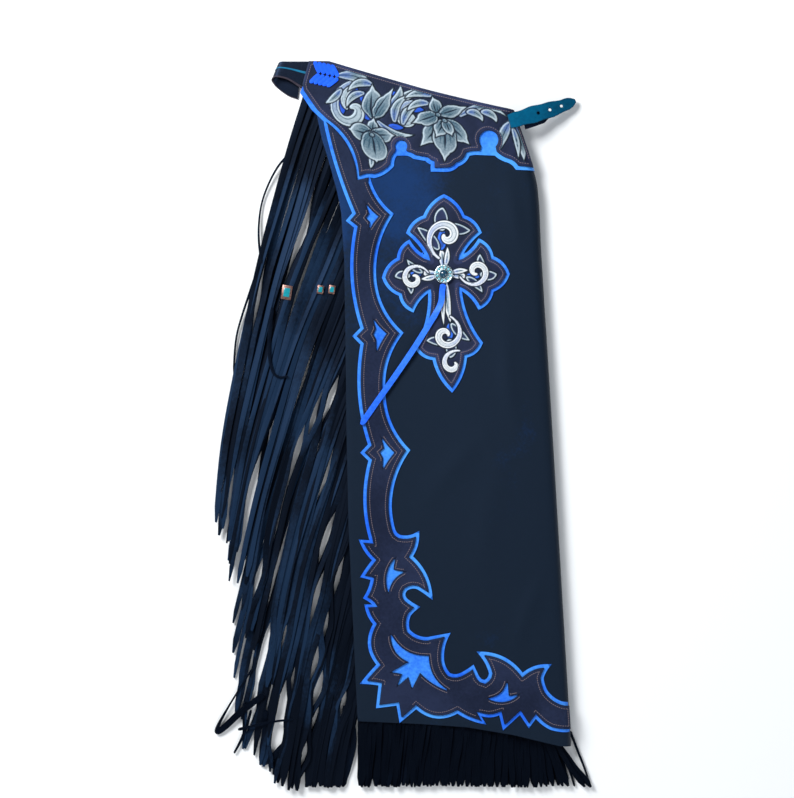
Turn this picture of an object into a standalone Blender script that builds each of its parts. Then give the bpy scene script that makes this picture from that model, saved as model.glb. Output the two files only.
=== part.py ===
"""Leather chaps: a pair folded lengthwise, laid together and flat, outer side of one leg up.

X runs from the fringed back edge to the fold, Y from hem to waist, Z up. The tables are in
millimetres as seen from above. Every sheet is drawn flat, cut along shared lines and then laid
over one height function, so that what lies on a panel follows it exactly.
"""
import math
import random

import bmesh
import bpy
from mathutils import Matrix, Vector

MM = 0.001

# Driving sizes, in millimetres
SEAM_GAP = 0.3
PANEL_WALL = 2.0
UNDERLAY_WALL = 1.2
OVERLAY_WALL = 1.8
YOKE_WALL = 2.4
RELIEF = 0.9
FOLD_RADIUS = 10.0
STACK_LEFT = 10.5
SLOPE_WIDTH = 230.0
COLUMN = 26.0
ROW = 90.0
FOLD_ROW = 18.0
YOKE_START = 276.0
TRIM = 2.3
EDGE_OVERHANG = 9.0
ARC_STEP = 21.0
LAYER_STEP = 2.5
WRAP_LINES = 8

# Heights of each layer above the hidden stack
PANEL_BASE = SEAM_GAP
UNDERLAY_BASE = PANEL_BASE + PANEL_WALL + SEAM_GAP
OVERLAY_BASE = UNDERLAY_BASE + UNDERLAY_WALL + SEAM_GAP
YOKE_TOP = OVERLAY_BASE + YOKE_WALL
OVERLAY_TOP = OVERLAY_BASE + OVERLAY_WALL
FOLD_CENTRE_Z = FOLD_RADIUS + PANEL_BASE + PANEL_WALL
WRAP_RADIUS = FOLD_RADIUS + 4.0
WRAP_END = math.radians(177.0)

# Silhouette of the fold: y, x
FOLD_LINE = [(-450, 239), (35, 210), (240, 197), (330, 192), (372, 181), (440, 157)]

# Back edge of the upper leg panel, where the fringe comes out: x, y
BACK_EDGE = [(-134, 450), (-122, 428), (-109, 398), (-93, 343), (-82, 294), (-78, 231),
             (-76, 100), (-75, 0), (-72, -140), (-66, -270), (-60, -398)]
# Hem of the upper leg panel: x, y
HEM = [(-59, -413), (29, -417), (94, -421), (158, -431), (205, -442), (222, -446)]
HEM_AT_FOLD = -448
# Waist edge of the panel, hidden under the yoke: x, y
WAIST = [(-118, 440), (-117, 496), (-98, 502), (28, 465)]
WAIST_AT_FOLD = 434

# Border round the back edge and the hem: x, y, bow of the arc to the next point, trim
BORDER = [
    (-105, 413, -4, 0.5), (-63, 294, 0, TRIM), (-76, 286, 0, TRIM), (-59, 274, -9, TRIM),
    (-51, 136, 0, TRIM), (-65, 125, 0, TRIM), (-51, 113, -10, TRIM), (-41, -29, 0, TRIM),
    (-55, -39, 0, TRIM), (-41, -50, -9, TRIM), (-38, -164, 0, TRIM), (-54, -161, -3, TRIM),
    (-36, -188, -2, TRIM), (-52, -211, 2, TRIM), (-38, -214, -3, TRIM), (-48, -242, 2, TRIM),
    (-34, -251, 0, TRIM), (-45, -255, -2, TRIM), (-35, -277, -2, TRIM), (-43, -294, 3, TRIM),
    (-29, -333, -3, TRIM), (-50, -358, 3, TRIM), (-27, -359, -3, TRIM), (-29, -391, 3, TRIM),
    (-3, -389, -2, TRIM), (1, -408, 3, TRIM), (23, -392, -4, TRIM), (57, -406, 3, TRIM),
    (81, -399, -4, TRIM), (115, -413, 2, TRIM), (110, -400, -4, TRIM), (139, -400, -3, TRIM),
    (146, -417, 4, TRIM), (165, -399, -3, TRIM), (179, -415, 2, TRIM), (188, -405, -3, TRIM),
    (210, -419, -2, TRIM), (235, -423, 0, TRIM), (235, -386, -5, TRIM), (203, -367, -6, TRIM),
    (205, -336, -2, TRIM), (184, -337, 2, TRIM), (169, -347, 4, TRIM), (146, -323, 2, TRIM),
    (112, -318, -6, TRIM), (127, -351, -2, TRIM), (117, -359, 2, TRIM), (102, -337, 0, TRIM),
    (83, -346, 3, TRIM), (62, -332, 0, TRIM), (68, -291, 5, TRIM), (36, -297, 6, TRIM),
    (10, -285, 0, TRIM), (10, -270, 2, TRIM), (23, -253, 0, TRIM), (5, -241, 4, TRIM),
    (5, -230, 2, TRIM), (19, -227, -2, TRIM), (43, -238, 3, TRIM), (34, -209, 5, TRIM),
    (10, -182, 4, TRIM), (26, -148, 3, TRIM), (-4, -150, 4, TRIM), (-13, -106, -7, TRIM),
    (16, -35, 5, TRIM), (-22, 52, 5, TRIM), (4, 129, 6, TRIM), (-36, 218, 7, TRIM),
    (-9, 294, 3, TRIM), (-42, 338, 0, 0.5), (-62, 338, 0, 0.5),
]

# Cut-outs of the border that show the blue below: x, y, bow of the arc to the next point
INLAYS = {
    "kite_upper": [(-48, 311, -2), (-29, 291, -2), (-42, 270, 2), (-46, 290, 2)],
    "kite_middle": [(-41, 150, -2), (-18, 127, -2), (-31, 102, 2), (-37, 127, 2)],
    "kite_lower": [(-31, -15, -2), (-8, -39, -2), (-28, -64, 2), (-33, -39, 2)],
    "claw_upper": [(0, -178, -3), (15, -206, -8), (-14, -245, 12)],
    "burst": [(-14, -283, 0), (10, -319, -2), (42, -319, -2), (37, -333, -2), (45, -354, 0),
              (73, -373, 2), (28, -351, -2), (17, -377, 0), (12, -358, -2), (-8, -369, 0),
              (1, -348, -2), (-17, -345, 0), (7, -332, -2), (-8, -314, 0)],
    "claw_lower": [(146, -349, -3), (177, -368, 12), (106, -375, -6)],
}

# Yoke overlay: x, y, bow; the two round bites of its lower edge are rows of BITES
YOKE_TOP_EDGE = [(-127, 507, 0), (-99, 507, 0), (28, 469, -1), (157, 438, 0)]
YOKE_LOWER_EDGE = [
    (184, 358, 0), (164, 360, -2), (148, 371, 1), (134, 380, 0), (111, 381, -1), (92, 379, 3),
    (78, 365, 2), (64, 358, 0), (48, 358, 0), (48, 367, 1), (38, 373, 0), (21, 376, -1),
    (9, 381, 0), (-7, 381, -2), (-14, 363, 2), (-36, 350, -2), (-57, 347, 0), (-81, 388, 0),
    (-101, 426, 0), (-134, 466, 0), (-136, 475, 0),
]
# Round bites: row of the lower edge before it, centre x, y, radius
BITES = {3: (123.0, 396.0, 13.4), 12: (1.4, 388.0, 8.6)}
YOKE_UNDERLAY = [
    (-125, 505, 0), (-100, 505, 0), (28, 467, -1), (156, 436, 0), (186, 351, 0), (165, 353, -2),
    (146, 362, 1), (126, 372, 1), (113, 374, -1), (97, 371, 3), (82, 357, 2), (66, 351, 0),
    (41, 351, 0), (41, 361, 1), (33, 366, 0), (15, 368, -1), (0, 374, -2), (-8, 356, 2),
    (-34, 342, -2), (-60, 341, 0), (-86, 384, 0), (-107, 421, 0), (-140, 462, 0), (-133, 473, 0),
]

# Tooled flowers of the yoke: x, y, petal length, petal width, petals, turn in degrees
FLOWERS = [(-40, 405, 27, 19, 5, 90), (60, 420, 30, 21, 5, 30), (12, 441, 18, 13, 5, 70)]
# Tooled leaves: x, y of the root, length, width, heading in degrees, bend
LEAVES = [(-34, 446, 34, 12, 35, 4), (16, 406, 25, 9, -55, 3), (68, 388, 21, 9, -95, -2),
          (98, 440, 33, 9, -7, -2), (148, 412, 42, 9, -68, 2), (140, 407, 24, 7, -84, -1),
          (-13, 394, 22, 7, -98, 2), (97, 410, 22, 8, -82, -1), (-100, 448, 26, 8, -62, -2)]
# Tooled scrolls: x, y of the eye, outer radius, turns, start in degrees, width
SCROLLS = [(-71, 443, 14, 1.0, 60, 6), (116, 420, 7, 0.85, 20, 4)]

# Cross: centre x, y and where two arms meet, then for each arm: heading in degrees, length, barb
# distance, barb half width, notch distance, notch half width, bow of the waist
CROSS_CENTRE = (61, 210)
CROSS_CORNER = 21
CROSS_ARMS = [(90, 109, 58, 50, 80, 27, -3), (0, 89, 49, 47, 67, 23, -3),
              (-86, 162, 99, 45, 116, 22, -6), (183, 84, 46, 48, 62, 25, -3)]

# Thong from the concho: x, y, height of its underside over the hidden stack
TIE = [(60, 194, 7.4), (57, 170, 7.4), (42, 143, 7.4), (22, 111, 7.2), (6, 87, 6.3),
       (-12, 61, 6.3), (-34, 30, 6.3), (-54, 1, 6.3)]
TIE_WIDTH = 7.6
TIE_WALL = 1.6

# Billet strap: x, y, z of its underside, half width
BILLET = [(151, 421, 30.1, 9.5), (165, 425, 29.4, 10.5), (180, 430, 25.6, 11.5),
          (196, 435, 20.8, 11.5), (212, 440, 16.0, 10.5), (226, 445, 12.0, 9.0),
          (238, 450, 9.0, 7.0), (245, 453, 7.6, 2.4)]
BILLET_WALL = 2.8
BILLET_HOLES = [44.0, 62.0, 80.0]
UNDER_STRAP = [(171, 421.5, 11.0), (184, 426.0, 11.0), (198, 430.5, 10.0), (206, 434.0, 5.0)]

# Belt band folded back: x and y of its waist edge, x and y of its lower edge, z of the middle
BELT = [(-124, 507, -124, 463, 11.5), (-138, 507, -140, 472, 11.5), (-154, 507, -156, 482, 11.5),
        (-165, 507, -171, 486, 11.3), (-168, 506, -176, 485, 9.4), (-169, 505, -178, 482, 6.6),
        (-168, 504, -176, 478, 3.8), (-164, 503, -171, 472, 1.9), (-152, 502, -157, 462, 1.7),
        (-138, 501, -143, 457, 1.7)]
BELT_WALL = 2.4

# Strand rows: place along the root line from 0 to 1, tip x, tip y, bow away from the panel
SIDE_UPPER = [(0.0, -264, -144, 17), (0.12, -248, -190, 15), (0.25, -228, -236, 13),
              (0.38, -203, -318, 12), (0.50, -186, -402, 11), (0.62, -166, -500, 9),
              (0.78, -126, -505, 6), (1.0, -71, -505, 2)]
SIDE_LOWER = [(0.0, -226, 6, 12), (0.15, -214, -80, 12), (0.30, -224, -215, 14),
              (0.42, -244, -420, 16), (0.55, -208, -462, 12), (0.68, -162, -502, 8),
              (0.82, -118, -504, 4), (1.0, -67, -504, 2)]
HEM_UPPER = [(0.0, -63, -505, 0), (0.3, 17, -506, 0), (0.6, 105, -505, 0), (0.85, 186, -506, 0),
             (0.94, 228, -504, 0), (1.0, 277, -506, 0)]
HEM_LOWER = [(0.0, -54, -503, 0), (0.5, 82, -504, 0), (0.9, 205, -503, 0), (1.0, 238, -504, 0)]
# Partings of the side fringe: x, y, half width, half length
PARTINGS = [(-137, 271, 2.5, 36), (-172, 110, 4, 40), (-199, 178, 4, 30), (-118, -10, 5, 46),
            (-150, -92, 5, 48), (-205, -60, 4, 40), (-122, -205, 4, 44), (-178, -232, 5, 50),
            (-108, -352, 4, 46), (-158, -388, 5, 44), (-96, 100, 3, 30)]
STRAND_WIDTH = 6.4
STRAND_WALL = 1.2
STRAND_TILT = math.radians(33.0)
UPPER_Z = 7.6
LOWER_Z = 2.75
STRIP_WIDTH = 8.0
SIDE_UPPER_COUNT = 60
SIDE_LOWER_COUNT = 36
HEM_UPPER_COUNT = 36
HEM_LOWER_COUNT = 20

# Square conchos on the fringe: x, y, width, length
FRINGE_CONCHOS = [(-158, 185, 14, 20), (-111, 189, 9, 12), (-95, 189, 9, 12)]


def clear_scene():
    for item in list(bpy.data.objects):
        bpy.data.objects.remove(item, do_unlink=True)


def new_collection(name, hidden=False):
    group = bpy.data.collections.new(name)
    bpy.context.scene.collection.children.link(group)
    group.hide_render = hidden
    return group


def leather(name, colour, roughness=0.5, metallic=0.0):
    """Principled material with the part's own colour."""
    material = bpy.data.materials.new(name)
    material.use_nodes = True
    shader = material.node_tree.nodes["Principled BSDF"]
    shader.inputs["Base Color"].default_value = (*colour, 1.0)
    shader.inputs["Roughness"].default_value = roughness
    shader.inputs["Metallic"].default_value = metallic
    return material


def smooth(value):
    value = min(max(value, 0.0), 1.0)
    return value * value * (3.0 - 2.0 * value)


def table_value(rows, key, column=1):
    """Smoothly interpolated column of a table whose first column rises."""
    key = min(max(key, rows[0][0]), rows[-1][0])
    for index in range(len(rows) - 1):
        if key <= rows[index + 1][0]:
            break
    near = rows[max(index - 1, 0)], rows[index], rows[index + 1], rows[min(index + 2, len(rows) - 1)]
    before, start, end, after = near
    span = end[0] - start[0]
    part = (key - start[0]) / span
    slope_in = (end[column] - before[column]) / (end[0] - before[0]) * span
    slope_out = (after[column] - start[column]) / (after[0] - start[0]) * span
    square = part * part
    cube = square * part
    return (start[column] * (2 * cube - 3 * square + 1) + slope_in * (cube - 2 * square + part)
            + end[column] * (3 * square - 2 * cube) + slope_out * (cube - square))


def fold_centre(y):
    """X of the axis that the leather folds round."""
    return table_value(FOLD_LINE, y) - FOLD_RADIUS - PANEL_BASE - PANEL_WALL


def stack_top(along, y):
    """Height of the hidden layers, along millimetres to the right of the fold's axis."""
    rise = FOLD_CENTRE_Z + FOLD_RADIUS - STACK_LEFT
    calm = smooth(-along / 90.0)
    wave = 0.8 * math.sin(along / 62.0 + 0.6) * math.sin(y / 95.0)
    wave += 0.6 * math.sin((y + 0.7 * along) / 70.0)
    return STACK_LEFT + rise * smooth(1.0 + along / SLOPE_WIDTH) + wave * calm * smooth(
        (along + 300.0) / 80.0)


def to_flat(x, y):
    """Plan point to the unfolded sheet: distance from the fold's axis, and y."""
    along = x - fold_centre(y)
    if along > 0.0:
        along = WRAP_RADIUS * math.asin(min(along / (FOLD_RADIUS + 4.0), 0.985))
    return along, y


def lay(along, y, height):
    """Point of the unfolded sheet, laid over the stack and round the fold."""
    centre = fold_centre(y)
    if along <= 0.0:
        return Vector((centre + along, y, stack_top(along, y) + height)) * MM
    angle = along / WRAP_RADIUS
    radius = FOLD_RADIUS + height
    return Vector((centre + radius * math.sin(angle), y,
                   FOLD_CENTRE_Z + radius * math.cos(angle))) * MM


def lay_stack(along, y, level):
    """Point of the hidden layers: level 0 lies on the ground, level 1 is their top."""
    centre = fold_centre(y)
    if along <= 0.0:
        low = 0.0 if along < -1.0 else FOLD_CENTRE_Z - FOLD_RADIUS
        top = stack_top(along, y)
        return Vector((centre + along, y, low + (top - low) * level)) * MM
    angle = min(along / WRAP_RADIUS, math.radians(80.0))
    half = FOLD_RADIUS * math.cos(angle)
    return Vector((centre + FOLD_RADIUS * math.sin(angle), y,
                   FOLD_CENTRE_Z + half * (2.0 * level - 1.0))) * MM


def bowed(rows, step=ARC_STEP):
    """Closed outline through rows of x, y and bow, each arc cut into short chords."""
    points = []
    for start, end in zip(rows, rows[1:] + rows[:1]):
        run, rise = end[0] - start[0], end[1] - start[1]
        length = math.hypot(run, rise)
        count = max(2, round(length / step)) if abs(start[2]) > 0.4 else 1
        for index in range(count):
            part = index / count
            lift = 4.0 * start[2] * part * (1.0 - part) / length
            points.append((start[0] + run * part - rise * lift, start[1] + rise * part + run * lift))
    return points


def bowed_trims(rows, step=ARC_STEP):
    """The trim column of each point that bowed makes."""
    trims = []
    for start, end in zip(rows, rows[1:] + rows[:1]):
        length = math.hypot(end[0] - start[0], end[1] - start[1])
        count = max(2, round(length / step)) if abs(start[2]) > 0.4 else 1
        trims += [start[3] + (end[3] - start[3]) * index / count for index in range(count)]
    return trims


def offset(points, distances, limit=2.2):
    """Outline moved outwards by each point's distance; sharp tips reach limit times further."""
    area = sum(a[0] * b[1] - b[0] * a[1] for a, b in zip(points, points[1:] + points[:1]))
    side = 1.0 if area > 0.0 else -1.0
    moved = []
    for index, point in enumerate(points):
        here = Vector(point)
        before = (here - Vector(points[index - 1])).normalized()
        after = (Vector(points[(index + 1) % len(points)]) - here).normalized()
        normal = Vector((before.y + after.y, -before.x - after.x)) * side
        if normal.length < 0.001:
            normal = Vector(before) * 0.001
        normal.normalize()
        edge_normal = Vector((after.y, -after.x)) * side
        reach = min(1.0 / max(normal.dot(edge_normal), 0.05), limit)
        moved.append(tuple(here + normal * distances[index] * reach))
    return moved


def fill_flat(outline, holes=()):
    """Flat faces inside an outline and round its holes, all as flat points."""
    form = bmesh.new()
    for ring in (outline, *holes):
        corners = [form.verts.new((x, y, 0.0)) for x, y in ring]
        for start, end in zip(corners, corners[1:] + corners[:1]):
            form.edges.new((start, end))
    bmesh.ops.triangle_fill(form, edges=form.edges, use_beauty=True, normal=(0.0, 0.0, 1.0))
    for face in form.faces:
        if face.normal.z < 0.0:
            face.normal_flip()
    return form


def thicken(form, wall):
    """Turns flat faces into a slab that reaches from 0 to wall."""
    bottom = list(form.faces)
    grown = bmesh.ops.extrude_face_region(form, geom=bottom, use_keep_orig=True)
    for item in grown["geom"]:
        if isinstance(item, bmesh.types.BMVert):
            item.co.z += wall
    for face in bottom:
        face.normal_flip()
    bmesh.ops.recalc_face_normals(form, faces=form.faces)


def cut_lines(form, extra=(), skip=None):
    """Cuts a flat form along the lines that all the sheets share, except the faces to skip."""
    low = min(vert.co.y for vert in form.verts)
    high = max(vert.co.y for vert in form.verts)
    left = min(vert.co.x for vert in form.verts)
    right = max(vert.co.x for vert in form.verts)
    columns = [-COLUMN * index for index in range(14)]
    columns += [WRAP_RADIUS * math.pi * index / WRAP_LINES for index in range(1, WRAP_LINES)]
    columns += list(extra)
    cuts = [((x, 0, 0), (1, 0, 0), None) for x in columns if left + 0.2 < x < right - 0.2]
    rows = [YOKE_START - ROW * index for index in range(10)] + [YOKE_START + 0.5 * ROW]
    rows += [YOKE_START + ROW]
    cuts += [((0, y, 0), (0, 1, 0), None) for y in rows if low + 0.5 < y < high - 0.5]
    close = [YOKE_START + FOLD_ROW * index for index in range(1, 10) if index != 5]
    cuts += [((0, y, 0), (0, 1, 0), -0.5) for y in close if low + 0.5 < y < high - 0.5]
    for point, normal, from_x in cuts:
        faces = [face for face in form.faces if not (skip and skip(face))]
        if from_x is not None:
            faces = [face for face in faces if face.calc_center_bounds().x > from_x]
        edges = {edge for face in faces for edge in face.edges}
        verts = {vert for face in faces for vert in face.verts}
        cut = bmesh.ops.bisect_plane(form, geom=[*verts, *edges, *faces], dist=0.02,
                                     plane_co=point, plane_no=normal)
        for item in cut["geom_cut"]:
            if isinstance(item, bmesh.types.BMEdge):
                item.seam = True
    bmesh.ops.dissolve_degenerate(form, dist=0.01, edges=form.edges)
    bmesh.ops.dissolve_limit(form, angle_limit=0.002, verts=form.verts, edges=form.edges,
                             delimit={"SEAM"})
    bmesh.ops.triangulate(form, faces=form.faces)


def finish(form, name, material, group, smooth_angle=40.0):
    """Triangulates a form and links it as the object of one piece."""
    bmesh.ops.triangulate(form, faces=form.faces)
    bmesh.ops.recalc_face_normals(form, faces=form.faces)
    mesh = bpy.data.meshes.new(name)
    form.to_mesh(mesh)
    form.free()
    mesh.shade_smooth()
    mesh.set_sharp_from_angle(angle=math.radians(smooth_angle))
    mesh.materials.append(material)
    piece = bpy.data.objects.new(name, mesh)
    group.objects.link(piece)
    return piece


def joined(solid, others, operation, work):
    """A slab joined or cut by others, which stay flat forms until it is done."""
    objects = []
    for form in (solid, others):
        bmesh.ops.recalc_face_normals(form, faces=form.faces)
        mesh = bpy.data.meshes.new("work")
        form.to_mesh(mesh)
        form.free()
        item = bpy.data.objects.new("work", mesh)
        item.display_type = "WIRE"
        item.hide_render = True
        work.objects.link(item)
        objects.append(item)
    change = objects[0].modifiers.new("join", "BOOLEAN")
    change.operation = operation
    change.object = objects[1]
    bpy.context.view_layer.update()
    evaluated = objects[0].evaluated_get(bpy.context.evaluated_depsgraph_get())
    result = bmesh.new()
    result.from_mesh(evaluated.to_mesh())
    for item in objects:
        mesh = item.data
        bpy.data.objects.remove(item, do_unlink=True)
        bpy.data.meshes.remove(mesh)
    bmesh.ops.triangulate(result, faces=result.faces)
    return result


def laid_sheet(name, outline, wall, base, material, group, holes=(), relief=None, work=None):
    """A sheet of leather cut to an outline of flat points and laid over the stack.

    What lies on the panel has twice as many lines round the fold, so it clears the panel's chords.
    """
    form = fill_flat(outline, holes)
    thicken(form, wall)
    if relief is not None:
        form = joined(form, relief, "UNION", work)
    between = [WRAP_RADIUS * math.pi * (index + 0.5) / WRAP_LINES for index in range(4)]
    cut_lines(form, extra=between if base > PANEL_BASE else ())
    for vert in form.verts:
        vert.co = lay(vert.co.x, vert.co.y, base + vert.co.z)
    return finish(form, name, material, group)


def add_pad(form, points, low, high):
    """A raised pad of plan points between two heights of a slab."""
    corners = [form.verts.new((*to_flat(x, y), low)) for x, y in points]
    face = form.faces.new(corners)
    grown = bmesh.ops.extrude_face_region(form, geom=[face], use_keep_orig=True)
    for item in grown["geom"]:
        if isinstance(item, bmesh.types.BMVert):
            item.co.z = high


def petal_points(x, y, heading, start, length, width):
    """A petal with a broad notched end."""
    profile = [(0.0, 0.2), (0.6, 0.95), (0.92, 0.72), (1.0, 0.30), (0.93, 0.0)]
    half = [(start + (length - start) * along, 0.5 * width * side) for along, side in profile]
    ring = half + [(along, -side) for along, side in reversed(half[:-1])]
    return turned(ring, x, y, heading)


def turned(ring, x, y, heading):
    """Points along a heading and to its left, moved to a place."""
    cosine, sine = math.cos(heading), math.sin(heading)
    return [(x + a * cosine - b * sine, y + a * sine + b * cosine) for a, b in ring]


def leaf_points(x, y, length, width, heading, bend):
    """A pointed leaf whose middle bends to one side."""
    left, right = [], []
    for index in range(5):
        part = index / 4
        half = 0.5 * width * math.sin(math.pi * min(part * 1.12 + 0.04, 1.0)) ** 0.8
        middle = 4.0 * bend * part * (1.0 - part)
        left.append((part * length, middle + half))
        right.append((part * length, middle - half))
    ring = left[:-1] + [left[-1]] + list(reversed(right[:-1]))
    return turned(ring, x, y, math.radians(heading))


def scroll_points(x, y, radius, turns, start, width, steps=7):
    """A spiral band that narrows towards its eye."""
    outer, inner = [], []
    for index in range(steps + 1):
        part = index / steps
        angle = math.radians(start) + math.tau * turns * part
        reach = radius * (1.0 - 0.62 * part)
        half = 0.5 * width * (0.35 + 0.65 * math.sin(math.pi * (0.15 + 0.7 * part)))
        outer.append((x + (reach + half) * math.cos(angle), y + (reach + half) * math.sin(angle)))
        inner.append((x + (reach - half) * math.cos(angle), y + (reach - half) * math.sin(angle)))
    return outer + list(reversed(inner))


def disc_points(x, y, radius, sides):
    return [(x + radius * math.cos(math.tau * k / sides), y + radius * math.sin(math.tau * k / sides))
            for k in range(sides)]


def yoke_relief():
    """The raised flowers, leaves and scrolls of the yoke."""
    form = bmesh.new()
    low, high = 0.5 * YOKE_WALL, YOKE_WALL + RELIEF
    for x, y, length, width, count, turn in FLOWERS:
        add_pad(form, disc_points(x, y, 0.2 * length, 10), low, high)
        for index in range(count):
            heading = math.radians(turn + 360.0 * index / count)
            add_pad(form, petal_points(x, y, heading, 0.3 * length, length, width), low, high)
    for row in LEAVES:
        add_pad(form, leaf_points(*row), low, high)
    for row in SCROLLS:
        add_pad(form, scroll_points(*row), low, high)
    return form


def yoke_outline():
    """Outline of the yoke overlay with its two round bites."""
    points = bowed(YOKE_TOP_EDGE + YOKE_LOWER_EDGE[:1])[:-1]
    for index, row in enumerate(YOKE_LOWER_EDGE):
        following = (YOKE_LOWER_EDGE + YOKE_TOP_EDGE[:1])[index + 1]
        if index in BITES:
            x, y, radius = BITES[index]
            start = math.atan2(row[1] - y, row[0] - x)
            end = math.atan2(following[1] - y, following[0] - x) + math.tau
            points.append(row[:2])
            steps = 9
            for step in range(1, steps):
                angle = start + (end - start) * step / steps
                points.append((x + radius * math.cos(angle), y + radius * math.sin(angle)))
        else:
            stretch = [row, (*following[:2], 0)]
            piece = bowed(stretch)
            points += piece[:-1]
    return points


def cross_outline():
    """The cross: four arms, each with two barbs, two notches and a pointed end."""
    points = []
    for heading, length, barb, barb_half, notch, notch_half, bow in CROSS_ARMS:
        rows = [(CROSS_CORNER, CROSS_CORNER, bow), (barb, barb_half, 4), (notch, notch_half, 4),
                (length, 0.0, 4), (notch, -notch_half, 4), (barb, -barb_half, bow)]
        angle = math.radians(heading)
        places = turned([(a, b) for a, b, bow in rows], *CROSS_CENTRE, angle)
        points += [(x, y, row[2]) for (x, y), row in zip(places, rows)]
    return points


def cross_relief():
    """Scroll pairs, a bud on each arm and a spine, all clear of the concho."""
    form = bmesh.new()
    low, high = 0.5 * OVERLAY_WALL, OVERLAY_WALL + RELIEF
    for heading, length, barb, barb_half, notch, notch_half, _bow in CROSS_ARMS:
        angle = math.radians(heading)
        for side in (-1.0, 1.0):
            eye = turned([(barb - 1.0, side * 0.52 * barb_half)], *CROSS_CENTRE, angle)[0]
            start = math.degrees(angle) - side * 100.0
            add_pad(form, scroll_points(*eye, 9.5, side * 0.95, start, 4.6), low, high)
        root = turned([(notch - 4.0, 0.0)], *CROSS_CENTRE, angle)[0]
        reach = length - notch - 8.0
        add_pad(form, leaf_points(*root, reach, 11.0, math.degrees(angle), 0.0), low, high)
        spine = turned([(21.0, 0.0)], *CROSS_CENTRE, angle)[0]
        add_pad(form, leaf_points(*spine, notch - 30.0, 8.0, math.degrees(angle), 0.0), low, high)
    return form


def panel_outline():
    """Flat outline of the upper panel: from the waist down the back edge, hem and fold."""
    points = [to_flat(*place) for place in WAIST[:1] + BACK_EDGE[2:]]
    points += [to_flat(*place) for place in HEM]
    end = WRAP_RADIUS * WRAP_END
    points += [(end, HEM_AT_FOLD), (end, WAIST_AT_FOLD)]
    points += [(0.0, WAIST_AT_FOLD + 2.0)]
    points += [to_flat(*place) for place in reversed(WAIST[1:])]
    return points


def is_ground(face):
    """True for a face of the flat underside, left of the fold."""
    return all(vert.co.z < 0.001 and vert.co.x < -2.0 for vert in face.verts)


def make_under_layers(material, group):
    """The three hidden half panels as one solid with a stepped edge and a flat underside."""
    back = [(x + EDGE_OVERHANG, y) for x, y in BACK_EDGE[2:]]
    hem = [(x, y + EDGE_OVERHANG + 1.0) for x, y in HEM[:-1]]
    hem[0] = (hem[0][0] + EDGE_OVERHANG, hem[0][1])
    nose = WRAP_RADIUS * math.radians(80.0)
    waist = [(x + 1.0, y - 2.0) for x, y in WAIST]
    waist[0] = (-112.0, 438.0)
    outline = [to_flat(*place) for place in waist[:1] + back + hem]
    outline += [(-1.2, HEM_AT_FOLD + 12.0), (nose, HEM_AT_FOLD + 12.0), (nose, WAIST_AT_FOLD - 4.0)]
    outline += [(-1.2, WAIST_AT_FOLD - 2.0)]
    outline += [to_flat(*place) for place in reversed(waist[1:])]
    layers = 3
    form = bmesh.new()
    corners = [form.verts.new((x, y, 0.0)) for x, y in outline]
    ground = form.faces.new(corners)
    top = ground
    for level in range(layers):
        grown = bmesh.ops.extrude_discrete_faces(form, faces=[top]) if level else \
            bmesh.ops.extrude_face_region(form, geom=[top], use_keep_orig=True)
        top = [item for item in grown.get("faces", grown.get("geom"))
               if isinstance(item, bmesh.types.BMFace)][0]
        for vert in top.verts:
            vert.co.z = (level + 1) / layers
        if level < layers - 1:
            bmesh.ops.inset_region(form, faces=[top], thickness=LAYER_STEP, use_even_offset=True)
    bmesh.ops.triangulate(form, faces=form.faces)
    bmesh.ops.recalc_face_normals(form, faces=form.faces)
    cut_lines(form, extra=(-1.2, -0.6), skip=is_ground)
    for vert in form.verts:
        vert.co = lay_stack(*vert.co)
    return finish(form, "under_layers", material, group, smooth_angle=30.0)


def table_ray(rows, place):
    """Tip x, tip y and bow of the strand whose root is at a place from 0 to 1."""
    return [table_value(rows, place, column) for column in (1, 2, 3)]


def root_point(line, place):
    """Point of a root line at a place from 0 to 1 of its length."""
    lengths = [math.dist(a, b) for a, b in zip(line, line[1:])]
    reach = place * sum(lengths)
    for start, end, length in zip(line, line[1:], lengths):
        if reach <= length:
            break
        reach -= length
    part = min(reach / length, 1.0)
    return start[0] + (end[0] - start[0]) * part, start[1] + (end[1] - start[1]) * part


def strand_rings(root, tip, bow, z, segments, cut, partings, start_inside):
    """Four-cornered sections of one strand, from inside its strip to its tip."""
    run, rise = tip[0] - root[0], tip[1] - root[1]
    length = math.hypot(run, rise)
    heading = (run / length, rise / length)
    rings = []
    for index in range(segments + 1):
        part = -start_inside / length + (cut + start_inside / length) * index / segments
        lift = 4.0 * bow * part * (1.0 - part)
        x = root[0] + run * part + heading[1] * lift
        y = root[1] + rise * part - heading[0] * lift
        fade = smooth(part * length / 60.0)
        for gap_x, gap_y, half_width, half_length in partings:
            along = (x - gap_x) * heading[0] + (y - gap_y) * heading[1]
            middle = root[0] + heading[0] * ((gap_y - root[1]) / heading[1])
            side = -1.0 if middle < gap_x else 1.0
            across = abs(middle - gap_x)
            push = half_width * side * math.exp(-across / 34.0 - (along / half_length) ** 2) * fade
            x += push
        side_x, side_y = -heading[1], heading[0]
        if side_x < 0.0:
            side_x, side_y = -side_x, -side_y
        taper = 1.0 if index < segments else 0.75
        half = 0.5 * STRAND_WIDTH * taper
        flat, tall = half * math.cos(STRAND_TILT), half * math.sin(STRAND_TILT)
        thin_flat = 0.5 * STRAND_WALL * math.sin(STRAND_TILT)
        thin_tall = 0.5 * STRAND_WALL * math.cos(STRAND_TILT)
        ring = []
        for across, up in ((flat, tall), (-flat, -tall)):
            for turn in (1.0, -1.0) if across > 0.0 else (-1.0, 1.0):
                shift = across - turn * thin_flat
                ring.append(Vector((x + side_x * shift, y + side_y * shift,
                                    z + up + turn * thin_tall)))
        rings.append(ring)
    return rings


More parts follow.
